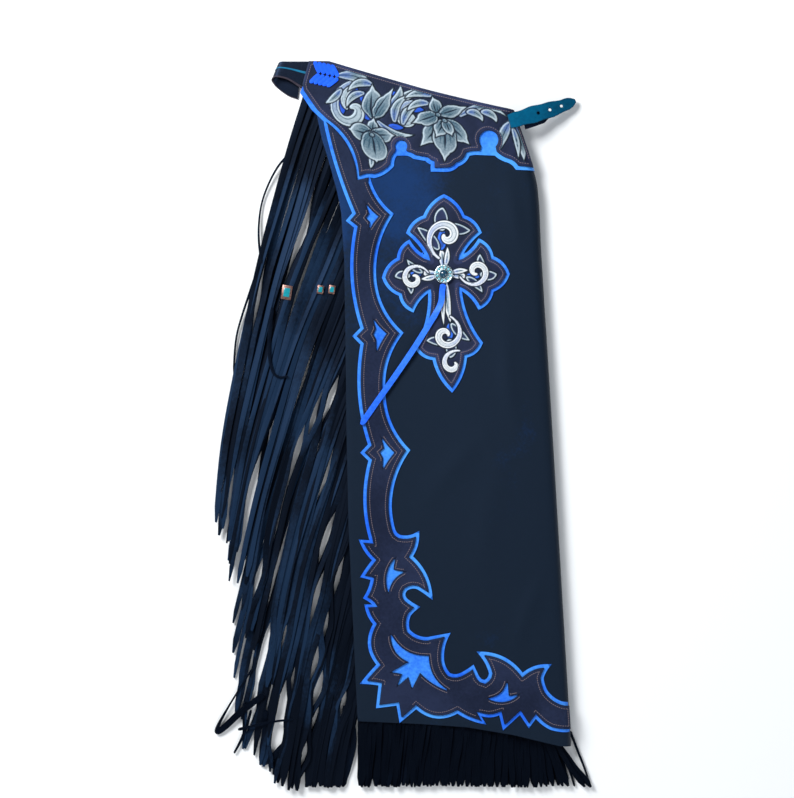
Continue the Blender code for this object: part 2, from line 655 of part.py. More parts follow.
def add_strand(form, rings):
    """Extrudes the first section through all the others."""
    face = form.faces.new([form.verts.new(corner) for corner in rings[0]])
    grown = bmesh.ops.extrude_face_region(form, geom=[face], use_keep_orig=True)
    tip = [item for item in grown["geom"] if isinstance(item, bmesh.types.BMFace)][0]
    for index, ring in enumerate(rings[1:]):
        if index:
            tip = bmesh.ops.extrude_discrete_faces(form, faces=[tip])["faces"][0]
        for loop, corner in zip(tip.verts, ring):
            loop.co = corner


def make_fringe(name, line, inward, rows, count, height, segments, seed, material, group, work,
                partings=()):
    """One strip and its strands, fused at their roots."""
    chance = random.Random(seed)
    strip = bmesh.new()
    outer = line
    inner = [(x + inward[0] * STRIP_WIDTH, y + inward[1] * STRIP_WIDTH) for x, y in line]
    corners = [strip.verts.new((x, y, height - 2.2)) for x, y in outer + inner[::-1]]
    face = strip.faces.new(corners)
    grown = bmesh.ops.extrude_face_region(strip, geom=[face], use_keep_orig=True)
    for item in grown["geom"]:
        if isinstance(item, bmesh.types.BMVert):
            item.co.z = height + 2.2
    strands = bmesh.new()
    for index in range(count):
        place = (index + 0.5) / count
        root = root_point(line, place)
        tip_x, tip_y, bow = table_ray(rows, place)
        cut = 1.0 - chance.uniform(0.0, 0.09) if index % 3 else 1.0
        rings = strand_rings(root, (tip_x, tip_y), bow, height, segments, cut, partings, 5.0)
        add_strand(strands, rings)
    form = joined(strip, strands, "UNION", work)
    bmesh.ops.scale(form, vec=(MM, MM, MM), verts=form.verts)
    return finish(form, name, material, group, smooth_angle=30.0)


def make_tie(material, group):
    """The flat thong that hangs from the concho across the border."""
    form = bmesh.new()
    rings = []
    for index, (x, y, height) in enumerate(TIE):
        before, after = TIE[max(index - 1, 0)], TIE[min(index + 1, len(TIE) - 1)]
        run, rise = after[0] - before[0], after[1] - before[1]
        length = math.hypot(run, rise)
        side = (-rise / length * 0.5 * TIE_WIDTH, run / length * 0.5 * TIE_WIDTH)
        if index == len(TIE) - 1:
            side = (0.45 * side[0], 0.45 * side[1])
        ring = []
        for sign, lift in ((1, 0), (-1, 0), (-1, TIE_WALL), (1, TIE_WALL)):
            place = to_flat(x + sign * side[0], y + sign * side[1])
            ring.append(lay(*place, height + lift))
        rings.append(ring)
    add_strand(form, rings)
    return finish(form, "concho_tie", material, group)


def strap_point(rows, along, across, lift):
    """Point of a strap that runs through rows of x, y and z."""
    lengths = [0.0]
    for start, end in zip(rows, rows[1:]):
        lengths.append(lengths[-1] + math.dist(start[:3], end[:3]))
    along = min(max(along, 0.0), lengths[-1])
    index = max(k for k in range(len(rows) - 1) if lengths[k] <= along + 0.0001)
    part = (along - lengths[index]) / (lengths[index + 1] - lengths[index])
    start, end = Vector(rows[index][:3]), Vector(rows[index + 1][:3])
    heading = (end - start).normalized()
    side = Vector((-heading.y, heading.x, 0.0)).normalized()
    return (start.lerp(end, part) + side * across + Vector((0.0, 0.0, lift))) * MM


def make_billet(material, group):
    """The billet strap with its three holes and a pointed end."""
    lengths = [0.0]
    for start, end in zip(BILLET, BILLET[1:]):
        lengths.append(lengths[-1] + math.dist(start[:3], end[:3]))
    upper = [(along, row[3]) for along, row in zip(lengths, BILLET)]
    outline = upper + [(along, -half) for along, half in reversed(upper)]
    holes = [disc_points(along, 0.0, 2.2, 8) for along in BILLET_HOLES]
    form = fill_flat(outline, holes)
    thicken(form, BILLET_WALL)
    for along in lengths[1:-1]:
        geometry = form.verts[:] + form.edges[:] + form.faces[:]
        bmesh.ops.bisect_plane(form, geom=geometry, dist=0.02, plane_co=(along, 0, 0),
                               plane_no=(1, 0, 0))
    for vert in form.verts:
        vert.co = strap_point(BILLET, vert.co.x, vert.co.y, vert.co.z)
    return finish(form, "billet", material, group)


def make_under_strap(material, group):
    """The plain strap end that lies just under the billet."""
    form = bmesh.new()
    rings = []
    for x, y, half in UNDER_STRAP:
        slope = [row for row in zip(BILLET, BILLET[1:]) if row[0][0] <= x <= row[1][0]][0]
        part = (x - slope[0][0]) / (slope[1][0] - slope[0][0])
        top = slope[0][2] + (slope[1][2] - slope[0][2]) * part - 0.6
        ring = [(x + 3.0, y - half, top), (x - 3.0, y + half, top),
                (x - 3.0, y + half, top - 2.0), (x + 3.0, y - half, top - 2.0)]
        rings.append([Vector(corner) * MM for corner in ring])
    add_strand(form, rings)
    return finish(form, "under_strap", material, group)


def make_belt(material, group):
    """The belt band: it leaves the yoke, folds under itself and comes back."""
    form = bmesh.new()
    rings = []
    for index, (top_x, top_y, low_x, low_y, z) in enumerate(BELT):
        before, after = BELT[max(index - 1, 0)], BELT[min(index + 1, len(BELT) - 1)]
        run = Vector((after[0] + after[2] - before[0] - before[2], 0.0, 2.0 * (after[4] - before[4])))
        normal = Vector((-run.z, 0.0, run.x)).normalized() * -0.5 * BELT_WALL
        top, low = Vector((top_x, top_y, z)), Vector((low_x, low_y, z))
        rings.append([(top + normal) * MM, (low + normal) * MM, (low - normal) * MM,
                      (top - normal) * MM])
    add_strand(form, rings)
    return finish(form, "belt", material, group)


def lacing_outline():
    """A feather of four slanted strokes on each side of a spine."""
    rows = []
    pitch, stroke, reach = 6.6, 4.6, 15.0
    for side in (1.0, -1.0):
        half = []
        for index in range(4):
            foot = 27.0 - pitch * index
            tip = foot - 0.72 * reach
            half += [(foot, side * 1.6), (tip, side * reach), (tip - stroke * 0.9, side * (reach - 2.5)),
                     (foot - stroke, side * 1.6)]
        rows.append(half)
    ring = rows[0] + rows[1][::-1]
    return turned(ring, -119.0, 488.5, math.radians(-12.0))


def make_concho(material, group):
    """The round concho, turned from its profile and seated on the cross."""
    profile = [(0.0, 6.4), (3.6, 6.1), (5.4, 4.8), (6.2, 3.6), (9.6, 3.9), (11.6, 4.6), (13.2, 3.4),
               (13.4, 0.8), (12.8, 0.0), (0.0, 0.0)]
    mesh = bpy.data.meshes.new("concho")
    points = [(x * MM, 0.0, z * MM) for x, z in profile]
    mesh.from_pydata(points, [(k, k + 1) for k in range(len(points) - 1)], [])
    mesh.materials.append(material)
    piece = bpy.data.objects.new("concho", mesh)
    group.objects.link(piece)
    screw = piece.modifiers.new("turn", "SCREW")
    screw.steps = 20
    screw.render_steps = 20
    screw.use_merge_vertices = True
    screw.merge_threshold = 0.00005
    screw.use_normal_calculate = True
    x, y = CROSS_CENTRE
    seat = OVERLAY_TOP + SEAM_GAP + 0.15
    here = lay(*to_flat(x, y), seat)
    east = lay(*to_flat(x + 8.0, y), seat) - lay(*to_flat(x - 8.0, y), seat)
    north = lay(*to_flat(x, y + 8.0), seat) - lay(*to_flat(x, y - 8.0), seat)
    up = east.cross(north).normalized()
    turn = Vector((0.0, 0.0, 1.0)).rotation_difference(up)
    piece.location = here
    piece.rotation_mode = "QUATERNION"
    piece.rotation_quaternion = turn
    return piece


def make_fringe_conchos(material, group):
    """Square conchos that lie on the upper side fringe."""
    for index, (x, y, width, length) in enumerate(FRINGE_CONCHOS):
        form = bmesh.new()
        bmesh.ops.create_cube(form, size=1.0)
        base = UPPER_Z + 2.5
        bmesh.ops.scale(form, vec=(width, length, 2.6), verts=form.verts)
        bmesh.ops.bevel(form, geom=form.edges[:], offset=0.7, segments=1, profile=0.5,
                        affect="EDGES", material=-1)
        upper = [face for face in form.faces if face.normal.z > 0.99]
        bmesh.ops.inset_region(form, faces=upper, thickness=0.2 * width)
        bmesh.ops.translate(form, vec=(0.0, 0.0, 0.9), verts=upper[0].verts)
        bmesh.ops.rotate(form, matrix=Matrix.Rotation(math.radians(-9.0), 3, "Z"), verts=form.verts)
        bmesh.ops.translate(form, vec=(x, y, base + 1.3), verts=form.verts)
        bmesh.ops.scale(form, vec=(MM, MM, MM), verts=form.verts)
        finish(form, f"fringe_concho_{index + 1}", material, group)


def main():
    clear_scene()
    chaps = new_collection("leather_chaps")
    work = new_collection("cutters", hidden=True)
    navy = leather("navy_leather", (0.018, 0.035, 0.068))
    black = leather("black_leather", (0.016, 0.018, 0.030))
    blue = leather("blue_leather", (0.045, 0.230, 0.950), 0.4)
    tooled = leather("tooled_leather", (0.240, 0.290, 0.340), 0.4)
    teal = leather("teal_leather", (0.004, 0.095, 0.190), 0.45)
    silver = leather("silver", (0.60, 0.66, 0.70), 0.3, 1.0)
    fringe_leather = leather("fringe_leather", (0.006, 0.010, 0.020), 0.45)

    make_under_layers(black, chaps)
    laid_sheet("leg_panel", panel_outline(), PANEL_WALL, PANEL_BASE, navy, chaps)

    border = bowed(BORDER)
    trims = bowed_trims(BORDER)
    wide = [to_flat(*p) for p in offset(border, trims)]
    laid_sheet("border_underlay", wide, UNDERLAY_WALL, UNDERLAY_BASE, blue, chaps)
    narrow = [to_flat(*p) for p in offset(border, [-trim for trim in trims], 1.3)]
    cuts = [[to_flat(*p) for p in bowed(rows)] for rows in INLAYS.values()]
    laid_sheet("border_overlay", narrow, OVERLAY_WALL, OVERLAY_BASE, black, chaps, cuts)

    base = [to_flat(*p) for p in bowed(YOKE_UNDERLAY)]
    laid_sheet("yoke_underlay", base, UNDERLAY_WALL, UNDERLAY_BASE, blue, chaps)
    cover = [to_flat(*p) for p in yoke_outline()]
    laid_sheet("yoke", cover, YOKE_WALL, OVERLAY_BASE, tooled, chaps, relief=yoke_relief(), work=work)

    cross = bowed(cross_outline())
    wide = [to_flat(*p) for p in offset(cross, [TRIM] * len(cross))]
    laid_sheet("cross_underlay", wide, UNDERLAY_WALL, UNDERLAY_BASE, blue, chaps)
    narrow = [to_flat(*p) for p in offset(cross, [-TRIM] * len(cross), 1.3)]
    laid_sheet("cross_overlay", narrow, OVERLAY_WALL, OVERLAY_BASE, tooled, chaps,
               relief=cross_relief(), work=work)

    make_concho(silver, chaps)
    make_tie(blue, chaps)
    make_belt(black, chaps)
    feather = [to_flat(*p) for p in lacing_outline()]
    laid_sheet("belt_lacing", feather, 1.3, YOKE_TOP + SEAM_GAP, blue, chaps)
    make_billet(teal, chaps)
    make_under_strap(black, chaps)

    side = BACK_EDGE
    make_fringe("side_fringe_upper", side, (1.0, 0.0), SIDE_UPPER, SIDE_UPPER_COUNT, UPPER_Z, 4, 3,
                fringe_leather, chaps, work, PARTINGS)
    make_fringe("side_fringe_lower", side, (1.0, 0.0), SIDE_LOWER, SIDE_LOWER_COUNT, LOWER_Z, 4, 5,
                fringe_leather, chaps, work, PARTINGS)
    bottom = [(x + 10.0 if index == 0 else x, y + 1.0) for index, (x, y) in enumerate(HEM)]
    make_fringe("hem_fringe_upper", bottom, (0.0, 1.0), HEM_UPPER, HEM_UPPER_COUNT, UPPER_Z, 1, 7,
                fringe_leather, chaps, work)
    make_fringe("hem_fringe_lower", bottom, (0.0, 1.0), HEM_LOWER, HEM_LOWER_COUNT, LOWER_Z, 1, 9,
                fringe_leather, chaps, work)
    make_fringe_conchos(teal, chaps)


main()
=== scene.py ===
# %% [markdown]
# # Leather chaps, folded together and laid flat
#
# A pair of show chaps lies on a pale floor, folded along the shin, with the outer side of one leg
# up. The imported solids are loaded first. Each later cell dresses one piece: it says what the real
# piece is, how it could be made and why this way was chosen.

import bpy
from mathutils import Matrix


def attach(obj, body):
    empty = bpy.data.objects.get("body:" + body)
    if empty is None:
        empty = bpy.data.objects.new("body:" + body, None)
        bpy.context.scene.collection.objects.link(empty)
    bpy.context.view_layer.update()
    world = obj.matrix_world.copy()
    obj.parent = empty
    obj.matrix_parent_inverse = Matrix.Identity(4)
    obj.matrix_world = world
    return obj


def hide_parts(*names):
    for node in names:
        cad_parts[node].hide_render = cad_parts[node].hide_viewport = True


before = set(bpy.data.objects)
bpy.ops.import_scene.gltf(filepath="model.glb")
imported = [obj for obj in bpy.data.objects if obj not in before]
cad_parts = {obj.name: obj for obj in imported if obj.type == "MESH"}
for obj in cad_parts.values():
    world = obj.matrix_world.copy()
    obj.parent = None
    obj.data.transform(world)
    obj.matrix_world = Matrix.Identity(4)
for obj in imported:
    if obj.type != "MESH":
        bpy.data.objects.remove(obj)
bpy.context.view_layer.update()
print("solids:", len(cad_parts), "nodes")

# %% Tools for this script
import math
import random

import bmesh
import bpy
import numpy as np
from mathutils import Matrix, Vector

MM = 0.001

# %% [markdown]
# ## How leather lies over a fold
#
# The upper panel lies on three hidden half panels, rises towards the fold and turns round it. One
# height function says where any point of a flat piece of leather ends up, so every applique can be
# drawn flat, as a maker cuts it, and still follow the panel exactly. The creases are listed one by
# one, because a stiff new chap leather shows only a few broad ones.

# %% Heights and the fold
FOLD_RADIUS = 10.0
PANEL_BASE, PANEL_WALL = 0.3, 2.0
UNDERLAY_BASE, UNDERLAY_WALL = 2.6, 1.2
OVERLAY_BASE, OVERLAY_WALL, YOKE_WALL = 4.1, 1.8, 2.4
FOLD_Z = FOLD_RADIUS + PANEL_BASE + PANEL_WALL
WRAP_RADIUS = FOLD_RADIUS + 4.0
STACK_LEFT, SLOPE_WIDTH = 10.5, 230.0

# Silhouette of the fold: y, x
FOLD_LINE = np.array([(-450, 239), (35, 210), (240, 197), (330, 192), (372, 181), (440, 157)], float)

# Creases of the panel: x, y, length, half width, height, heading in degrees
CREASES = [(150, 60, 130, 13, 1.5, 97), (118, -150, 190, 19, 1.3, 84), (176, -262, 110, 12, 1.6, 70),
           (70, -62, 120, 16, 0.9, 52), (160, 290, 90, 14, 1.2, 105), (128, -40, 70, 9, 0.8, 120)]


def smooth(value):
    value = np.clip(value, 0.0, 1.0)
    return value * value * (3.0 - 2.0 * value)


def table_value(rows, key, column=1):
    """Column of a table, read smoothly between its rows."""
    rows = np.asarray(rows, float)
    key = np.clip(key, rows[0, 0], rows[-1, 0])
    index = np.clip(np.searchsorted(rows[:, 0], key, side="left") - 1, 0, len(rows) - 2)
    before, after = np.maximum(index - 1, 0), np.minimum(index + 2, len(rows) - 1)
    span = rows[index + 1, 0] - rows[index, 0]
    part = (key - rows[index, 0]) / span
    value = rows[:, column]
    slope_in = (value[index + 1] - value[before]) / (rows[index + 1, 0] - rows[before, 0]) * span
    slope_out = (value[after] - value[index]) / (rows[after, 0] - rows[index, 0]) * span
    square, cube = part ** 2, part ** 3
    return (value[index] * (2 * cube - 3 * square + 1) + slope_in * (cube - 2 * square + part)
            + value[index + 1] * (3 * square - 2 * cube) + slope_out * (cube - square))


def fold_centre(y):
    return table_value(FOLD_LINE, y) - FOLD_RADIUS - PANEL_BASE - PANEL_WALL


def stack_top(along, y):
    """Height of the hidden layers, at a distance to the right of the fold's axis."""
    rise = FOLD_Z + FOLD_RADIUS - STACK_LEFT
    wave = 0.8 * np.sin(along / 62.0 + 0.6) * np.sin(y / 95.0) + 0.6 * np.sin((y + 0.7 * along) / 70.0)
    wave = wave * smooth(-along / 90.0) * smooth((along + 300.0) / 80.0)
    return STACK_LEFT + rise * smooth(1.0 + along / SLOPE_WIDTH) + wave


def crease_height(along, y):
    """Broad soft ridges of the panel, and of all that is sewn on it."""
    x = fold_centre(y) + along
    height = np.zeros_like(x)
    for centre_x, centre_y, length, half, lift, heading in CREASES:
        cosine, sine = math.cos(math.radians(heading)), math.sin(math.radians(heading))
        forward = (x - centre_x) * cosine + (y - centre_y) * sine
        across = (y - centre_y) * cosine - (x - centre_x) * sine + 0.0012 * forward ** 2
        height += lift * np.exp(-(across / half) ** 2 - (forward / (0.5 * length)) ** 2)
    return height * smooth(-along / 26.0)


def lay(along, y, height):
    """Points of the flat leather, laid over the stack and round the fold, in metres."""
    along, y, height = (np.asarray(item, float) for item in (along, y, height))
    centre = fold_centre(y)
    angle = np.maximum(along, 0.0) / WRAP_RADIUS
    radius = FOLD_RADIUS + height
    flat = along <= 0.0
    x = np.where(flat, centre + along, centre + radius * np.sin(angle))
    top = stack_top(np.minimum(along, 0.0), y) + crease_height(np.minimum(along, 0.0), y) + height
    return np.stack([x, y + 0.0 * x, np.where(flat, top, FOLD_Z + radius * np.cos(angle))], -1) * MM


def to_flat(points):
    """Plan points to the unrolled leather: distance from the fold's axis, and y."""
    points = np.asarray(points, float)[:, :2]
    along = points[:, 0] - fold_centre(points[:, 1])
    turned = WRAP_RADIUS * np.arcsin(np.clip(along / (FOLD_RADIUS + 4.0), 0.0, 0.985))
    return np.stack([np.where(along > 0.0, turned, along), points[:, 1]], -1)


print("fold's x at the hem, in mm:", round(float(fold_centre(-440.0)), 1))

# %% [markdown]
# ## Camera, floor and light
#
# The chaps are seen from straight above. A long lens keeps the picture free of perspective, as a
# catalogue photograph is. One large soft light at the upper left models the creases, a weaker one
# fills the shadows, and the pale floor does the rest.

# %% Camera, floor and lights
VIEW_CENTRE = (-0.0042, 0.0364)
VIEW_HEIGHT = 1.117
LENS, SENSOR = 100.0, 36.0

camera = bpy.data.objects.new("camera", bpy.data.cameras.new("camera"))
camera.data.lens = LENS
camera.data.sensor_width = SENSOR
camera.location = (*VIEW_CENTRE, VIEW_HEIGHT * LENS / SENSOR)
bpy.context.collection.objects.link(camera)
bpy.context.scene.camera = camera

world = bpy.data.worlds.new("studio")
world.use_nodes = True
world.node_tree.nodes["Background"].inputs["Color"].default_value = (0.93, 0.96, 1.0, 1.0)
world.node_tree.nodes["Background"].inputs["Strength"].default_value = 0.17
bpy.context.scene.world = world
bpy.context.scene.view_settings.view_transform = "Standard"

# Lights: name, place, size, watts, colour
LIGHTS = [("key_light", (-1.5, 1.5, 1.9), 1.2, 112.0, (0.97, 0.99, 1.0)),
          ("fill_light", (1.8, -0.5, 2.0), 1.6, 21.0, (0.88, 0.94, 1.0)),
          ("hem_light", (-0.3, -1.9, 1.6), 1.2, 14.0, (0.95, 0.97, 1.0))]
for name, place, size, watts, colour in LIGHTS:
    lamp = bpy.data.objects.new(name, bpy.data.lights.new(name, "AREA"))
    lamp.data.size = size
    lamp.data.energy = watts
    lamp.data.color = colour
    lamp.location = place
    lamp.rotation_euler = (-Vector(place)).to_track_quat("-Z", "Y").to_euler()
    bpy.context.collection.objects.link(lamp)
print("lights:", len(LIGHTS))

# %% [markdown]
# ## Node and colour helpers
#
# Colours are picked on a screen, so they are written as sRGB hex values and one function turns them
# to the linear values that a shader works in. One more function adds a node with its settings and
# links.

# %% Node and colour helpers
SMOOTH = {"interpolation_type": "SMOOTHSTEP"}
COLOURS = {"data_type": "RGBA"}


def linear(text):
    """Linear RGBA of an sRGB hex colour."""
    parts = [int(text[k:k + 2], 16) / 255.0 for k in (1, 3, 5)]
    return tuple(p / 12.92 if p < 0.04045 else ((p + 0.055) / 1.055) ** 2.4 for p in parts) + (1.0,)


def node(tree, kind, settings, output=0):
    """Adds a node and returns one output. An output in the settings is linked, a hex text is a colour."""
    item = tree.nodes.new("ShaderNode" + kind)
    for key, value in settings.items():
        if isinstance(value, bpy.types.NodeSocket):
            tree.links.new(value, item.inputs[key])
        elif isinstance(key, str) and key not in item.inputs:
            setattr(item, key, value)
        else:
            item.inputs[key].default_value = linear(value) if isinstance(value, str) else value
    return item.outputs[output]


def new_material(name, settings):
    """A Principled material with its settings; returns it with its tree and shader."""
    material = bpy.data.materials.new(name)
    material.use_nodes = True
    shader = material.node_tree.nodes["Principled BSDF"]
    for key, value in settings.items():
        shader.inputs[key].default_value = linear(value) if isinstance(value, str) else value
    return material, material.node_tree, shader


# %% [markdown]
# ## Floor
#
# A matt pale floor. It has a faint unevenness in its roughness only, so nothing draws the eye.

# %% Floor
# Uncoated paper: it scatters the light evenly and takes a soft shadow.
material, tree, shader = new_material("matt_white_paper", {"Base Color": "#F3F4F5"})
fibre = node(tree, "TexNoise", {"Vector": node(tree, "TexCoord", {}, "Object"), "Scale": 40.0, "Detail": 3.0})
tree.links.new(node(tree, "MapRange", {0: fibre, 3: 0.78, 4: 0.9}), shader.inputs["Roughness"])
form = bmesh.new()
bmesh.ops.create_grid(form, x_segments=2, y_segments=2, size=3.0)
floor_mesh = bpy.data.meshes.new("floor")
form.to_mesh(floor_mesh)
form.free()
floor_mesh.materials.append(material)
floor = bpy.data.objects.new("floor", floor_mesh)
bpy.context.collection.objects.link(floor)
print("floor laid")

# %% [markdown]
# ## Leather finishes
#
# Chap leather is a chrome-tanned cowhide: a fine pebbled grain of about a millimetre, a soft sheen
# and broad patches where the dye took a little more or less. Cut edges are dyed dark and rubbed
# down. The pebble is drawn with Voronoi cells, because grain is a net of small cells, and the dye
# with slow noise. All scales are real sizes in metres. The edge shade reads the distance from the
# cut edge, in millimetres, which each piece of leather carries as an attribute.

# %% Leather finishes


def leather_finish(name, dark, light, roughness=0.5, grain=1.1, depth=0.12, edge_colour="#07090F",
                   edge_mm=0.9, specular=0.32):
    """Grained leather between two dye colours, with dark rubbed edges."""
    material, tree, shader = new_material(name, {"Specular IOR Level": specular,
                                                 "Specular Tint": "#8FB0EC"})
    place = node(tree, "TexCoord", {}, "Object")
    dye = node(tree, "TexNoise", {"Vector": place, "Scale": 9.0, "Detail": 5.0, "Roughness": 0.55})
    speck = node(tree, "TexNoise", {"Vector": place, "Scale": 260.0, "Detail": 3.0})
    # The tone attribute adds painted sheen and shade where a piece sets it, and random tone on the fringe strands
    tone = node(tree, "Attribute", {"attribute_name": "tone"}, "Fac")
    shade = node(tree, "Math", {"operation": "MULTIPLY_ADD", 0: speck, 1: 0.3, 2: dye})
    shade = node(tree, "Math", {"operation": "ADD", 0: shade, 1: tone})
    share = node(tree, "MapRange", {**SMOOTH, 0: shade, 1: 0.45, 2: 0.86})
    colour = node(tree, "Mix", {**COLOURS, 0: share, 6: dark, 7: light}, 2)
    if edge_mm:
        edge = node(tree, "Attribute", {"attribute_name": "edge"}, "Fac")
        share = node(tree, "MapRange", {**SMOOTH, 0: edge, 2: edge_mm, 3: 0.85, 4: 0.0})
        colour = node(tree, "Mix", {**COLOURS, 0: share, 6: colour, 7: edge_colour}, 2)
    tree.links.new(colour, shader.inputs["Base Color"])
    pebble = node(tree, "TexVoronoi", {"feature": "DISTANCE_TO_EDGE", "Vector": place,
                                       "Scale": 1.0 / (grain * MM)})
    pebble = node(tree, "MapRange", {**SMOOTH, 0: pebble, 2: 0.25})
    pore = node(tree, "TexNoise", {"Vector": place, "Scale": 2.4 / (grain * MM), "Detail": 2.0})
    height = node(tree, "Math", {"operation": "MULTIPLY_ADD", 0: pore, 1: 0.5, 2: pebble})
    bump = node(tree, "Bump", {"Strength": 0.55, "Distance": depth * MM, "Height": height})
    tree.links.new(bump, shader.inputs["Normal"])
    gloss = node(tree, "MapRange", {0: shade, 1: 0.4, 2: 0.9, 3: roughness + 0.07, 4: roughness - 0.07})
    tree.links.new(gloss, shader.inputs["Roughness"])
    return material


# Drum-dyed and milled: soft pebbles with a low, even sheen. Its lighter blue shows mainly where the panel's painted
# sheen lifts it.
panel_leather = leather_finish("chrome_tanned_navy_cowhide", "#0E1720", "#0B2A55", 0.5)
# Dyed through and ironed smooth: flatter and a little violet beside the panel.
black_leather = leather_finish("smooth_navy_black_cowhide", "#131626", "#22283F", 0.5, 0.9, 0.09)
# Foil laid on smooth leather under heat: a bright coat that shifts from royal to sky blue.
blue_leather = leather_finish("bright_blue_foil_leather", "#1E5FE0", "#4C9CF0", 0.36, 1.0, 0.05,
                              edge_colour="#174FA8", edge_mm=0.4)
# Soft split dyed in the drum: each strand took the dye differently, some bluer, some near black.
# The darker roots and the darker top of the row are painted shade, set on each strand.
fringe_leather = leather_finish("drum_dyed_fringe_leather", "#03050A", "#15263C", 0.5, 1.3, 0.1, edge_mm=0.0,
                                specular=0.15)
# The same split dyed twice: nearly black, with hardly any shine.
hem_leather = leather_finish("black_hem_fringe_leather", "#010205", "#070D18", 0.45, 1.3, 0.1, edge_mm=0.0,
                             specular=0.12)
# Waxed and burnished on the face: darker and glossier than the chap leather.
belt_leather = leather_finish("black_bridle_leather", "#05070C", "#0D1220", 0.36, 0.7, 0.05, edge_mm=0.0)
# Firm strap leather dyed teal by hand: a close grain and a slightly uneven colour.
billet_leather = leather_finish("teal_bridle_leather", "#013650", "#04597C", 0.42, 0.8, 0.06,
                                edge_colour="#02293C", specular=0.2)
# Thin lace with a pigment coat: flat strong blue, little grain.
lace_leather = leather_finish("cobalt_blue_lace_leather", "#1C58EC", "#3F82FA", 0.38, 0.8, 0.04, edge_mm=0.0)
# The same lace in cyan, dulled by wear along the belt.
cyan_leather = leather_finish("cyan_lace_leather", "#155F80", "#2787AA", 0.35, 0.8, 0.04, edge_mm=0.0)
# Brown leather rolled over a cord and rubbed: it shines along its crown.
piping_leather = leather_finish("rolled_brown_piping", "#2B2428", "#4E4448", 0.4, 0.8, 0.05, edge_mm=0.0)
print("leathers:", len([m for m in bpy.data.materials if m.name.endswith(("leather", "hide", "piping"))]))

# %% [markdown]
# ## Cutting a piece of leather
#
# A flat piece could be filled inside its outline, but the long thin triangles that this leaves
# can't bend or take any carving. Here a square grid is laid over the pattern, what lies outside is
# deleted and the rim is pulled onto the cutting line. The grid keeps each point's distance from the
# cut, which later drives edge dye and carving.

# %% Cutting a piece of leather


def bowed(rows, step=5.0):
    """Closed outline through rows of x, y and bow, each arc cut into short chords."""
    points = []
    for start, end in zip(rows, list(rows[1:]) + list(rows[:1])):
        run, rise = end[0] - start[0], end[1] - start[1]
        length = math.hypot(run, rise)
        count = max(2, round(length / step)) if abs(start[2]) > 0.4 else 1
        for part in np.arange(count) / count:
            lift = 4.0 * start[2] * part * (1.0 - part) / length
            points.append((start[0] + run * part - rise * lift, start[1] + rise * part + run * lift))
    return np.array(points)


def measure(rings, spacing, margin=1.5):
    """Grid over some rings: its x and y lines, what is inside, edge distance and nearest edge point."""
    corners = np.concatenate(rings)
    low, high = corners.min(0) - margin * spacing, corners.max(0) + margin * spacing
    xs = np.arange(low[0], high[0], spacing)
    ys = np.arange(low[1], high[1], spacing)
    reach = max(9.0, 2.0 * spacing)
    inside = np.zeros((len(ys), len(xs)), bool)
    best = np.full(inside.shape, reach)
    near = np.zeros((*inside.shape, 2))
    for ring in rings:
        for start, end in zip(ring, np.roll(ring, -1, axis=0)):
            run = end - start
            span = (ys >= min(start[1], end[1])) & (ys < max(start[1], end[1]))
            if span.any():
                at = start[0] + (ys[span] - start[1]) / run[1] * run[0]
                inside[span] ^= xs[None, :] < at[:, None]
            col = slice(*np.searchsorted(xs, (min(start[0], end[0]) - reach, max(start[0], end[0]) + reach)))
            row = slice(*np.searchsorted(ys, (min(start[1], end[1]) - reach, max(start[1], end[1]) + reach)))
            x, y = np.meshgrid(xs[col], ys[row])
            along = np.clip(((x - start[0]) * run[0] + (y - start[1]) * run[1]) / (run @ run), 0.0, 1.0)
            foot = start + along[..., None] * run
            gap = np.hypot(x - foot[..., 0], y - foot[..., 1])
            closer = gap < best[row, col]
            best[row, col][closer] = gap[closer]
            near[row, col][closer] = foot[closer]
    return xs, ys, inside, best, near


def new_piece(name, form, material, nodes=(), smooth_angle=50.0):
    """Links a finished bmesh as a piece that rides on the chaps."""
    mesh = bpy.data.meshes.new(name)
    form.to_mesh(mesh)
    form.free()
    mesh.shade_smooth()
    mesh.set_sharp_from_angle(angle=math.radians(smooth_angle))
    mesh.materials.append(material)
    piece = bpy.data.objects.new(name, mesh)
    bpy.context.collection.objects.link(piece)
    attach(piece, "root")
    if nodes:
        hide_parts(*nodes)
    print(name, len(mesh.polygons), "faces")
    return piece


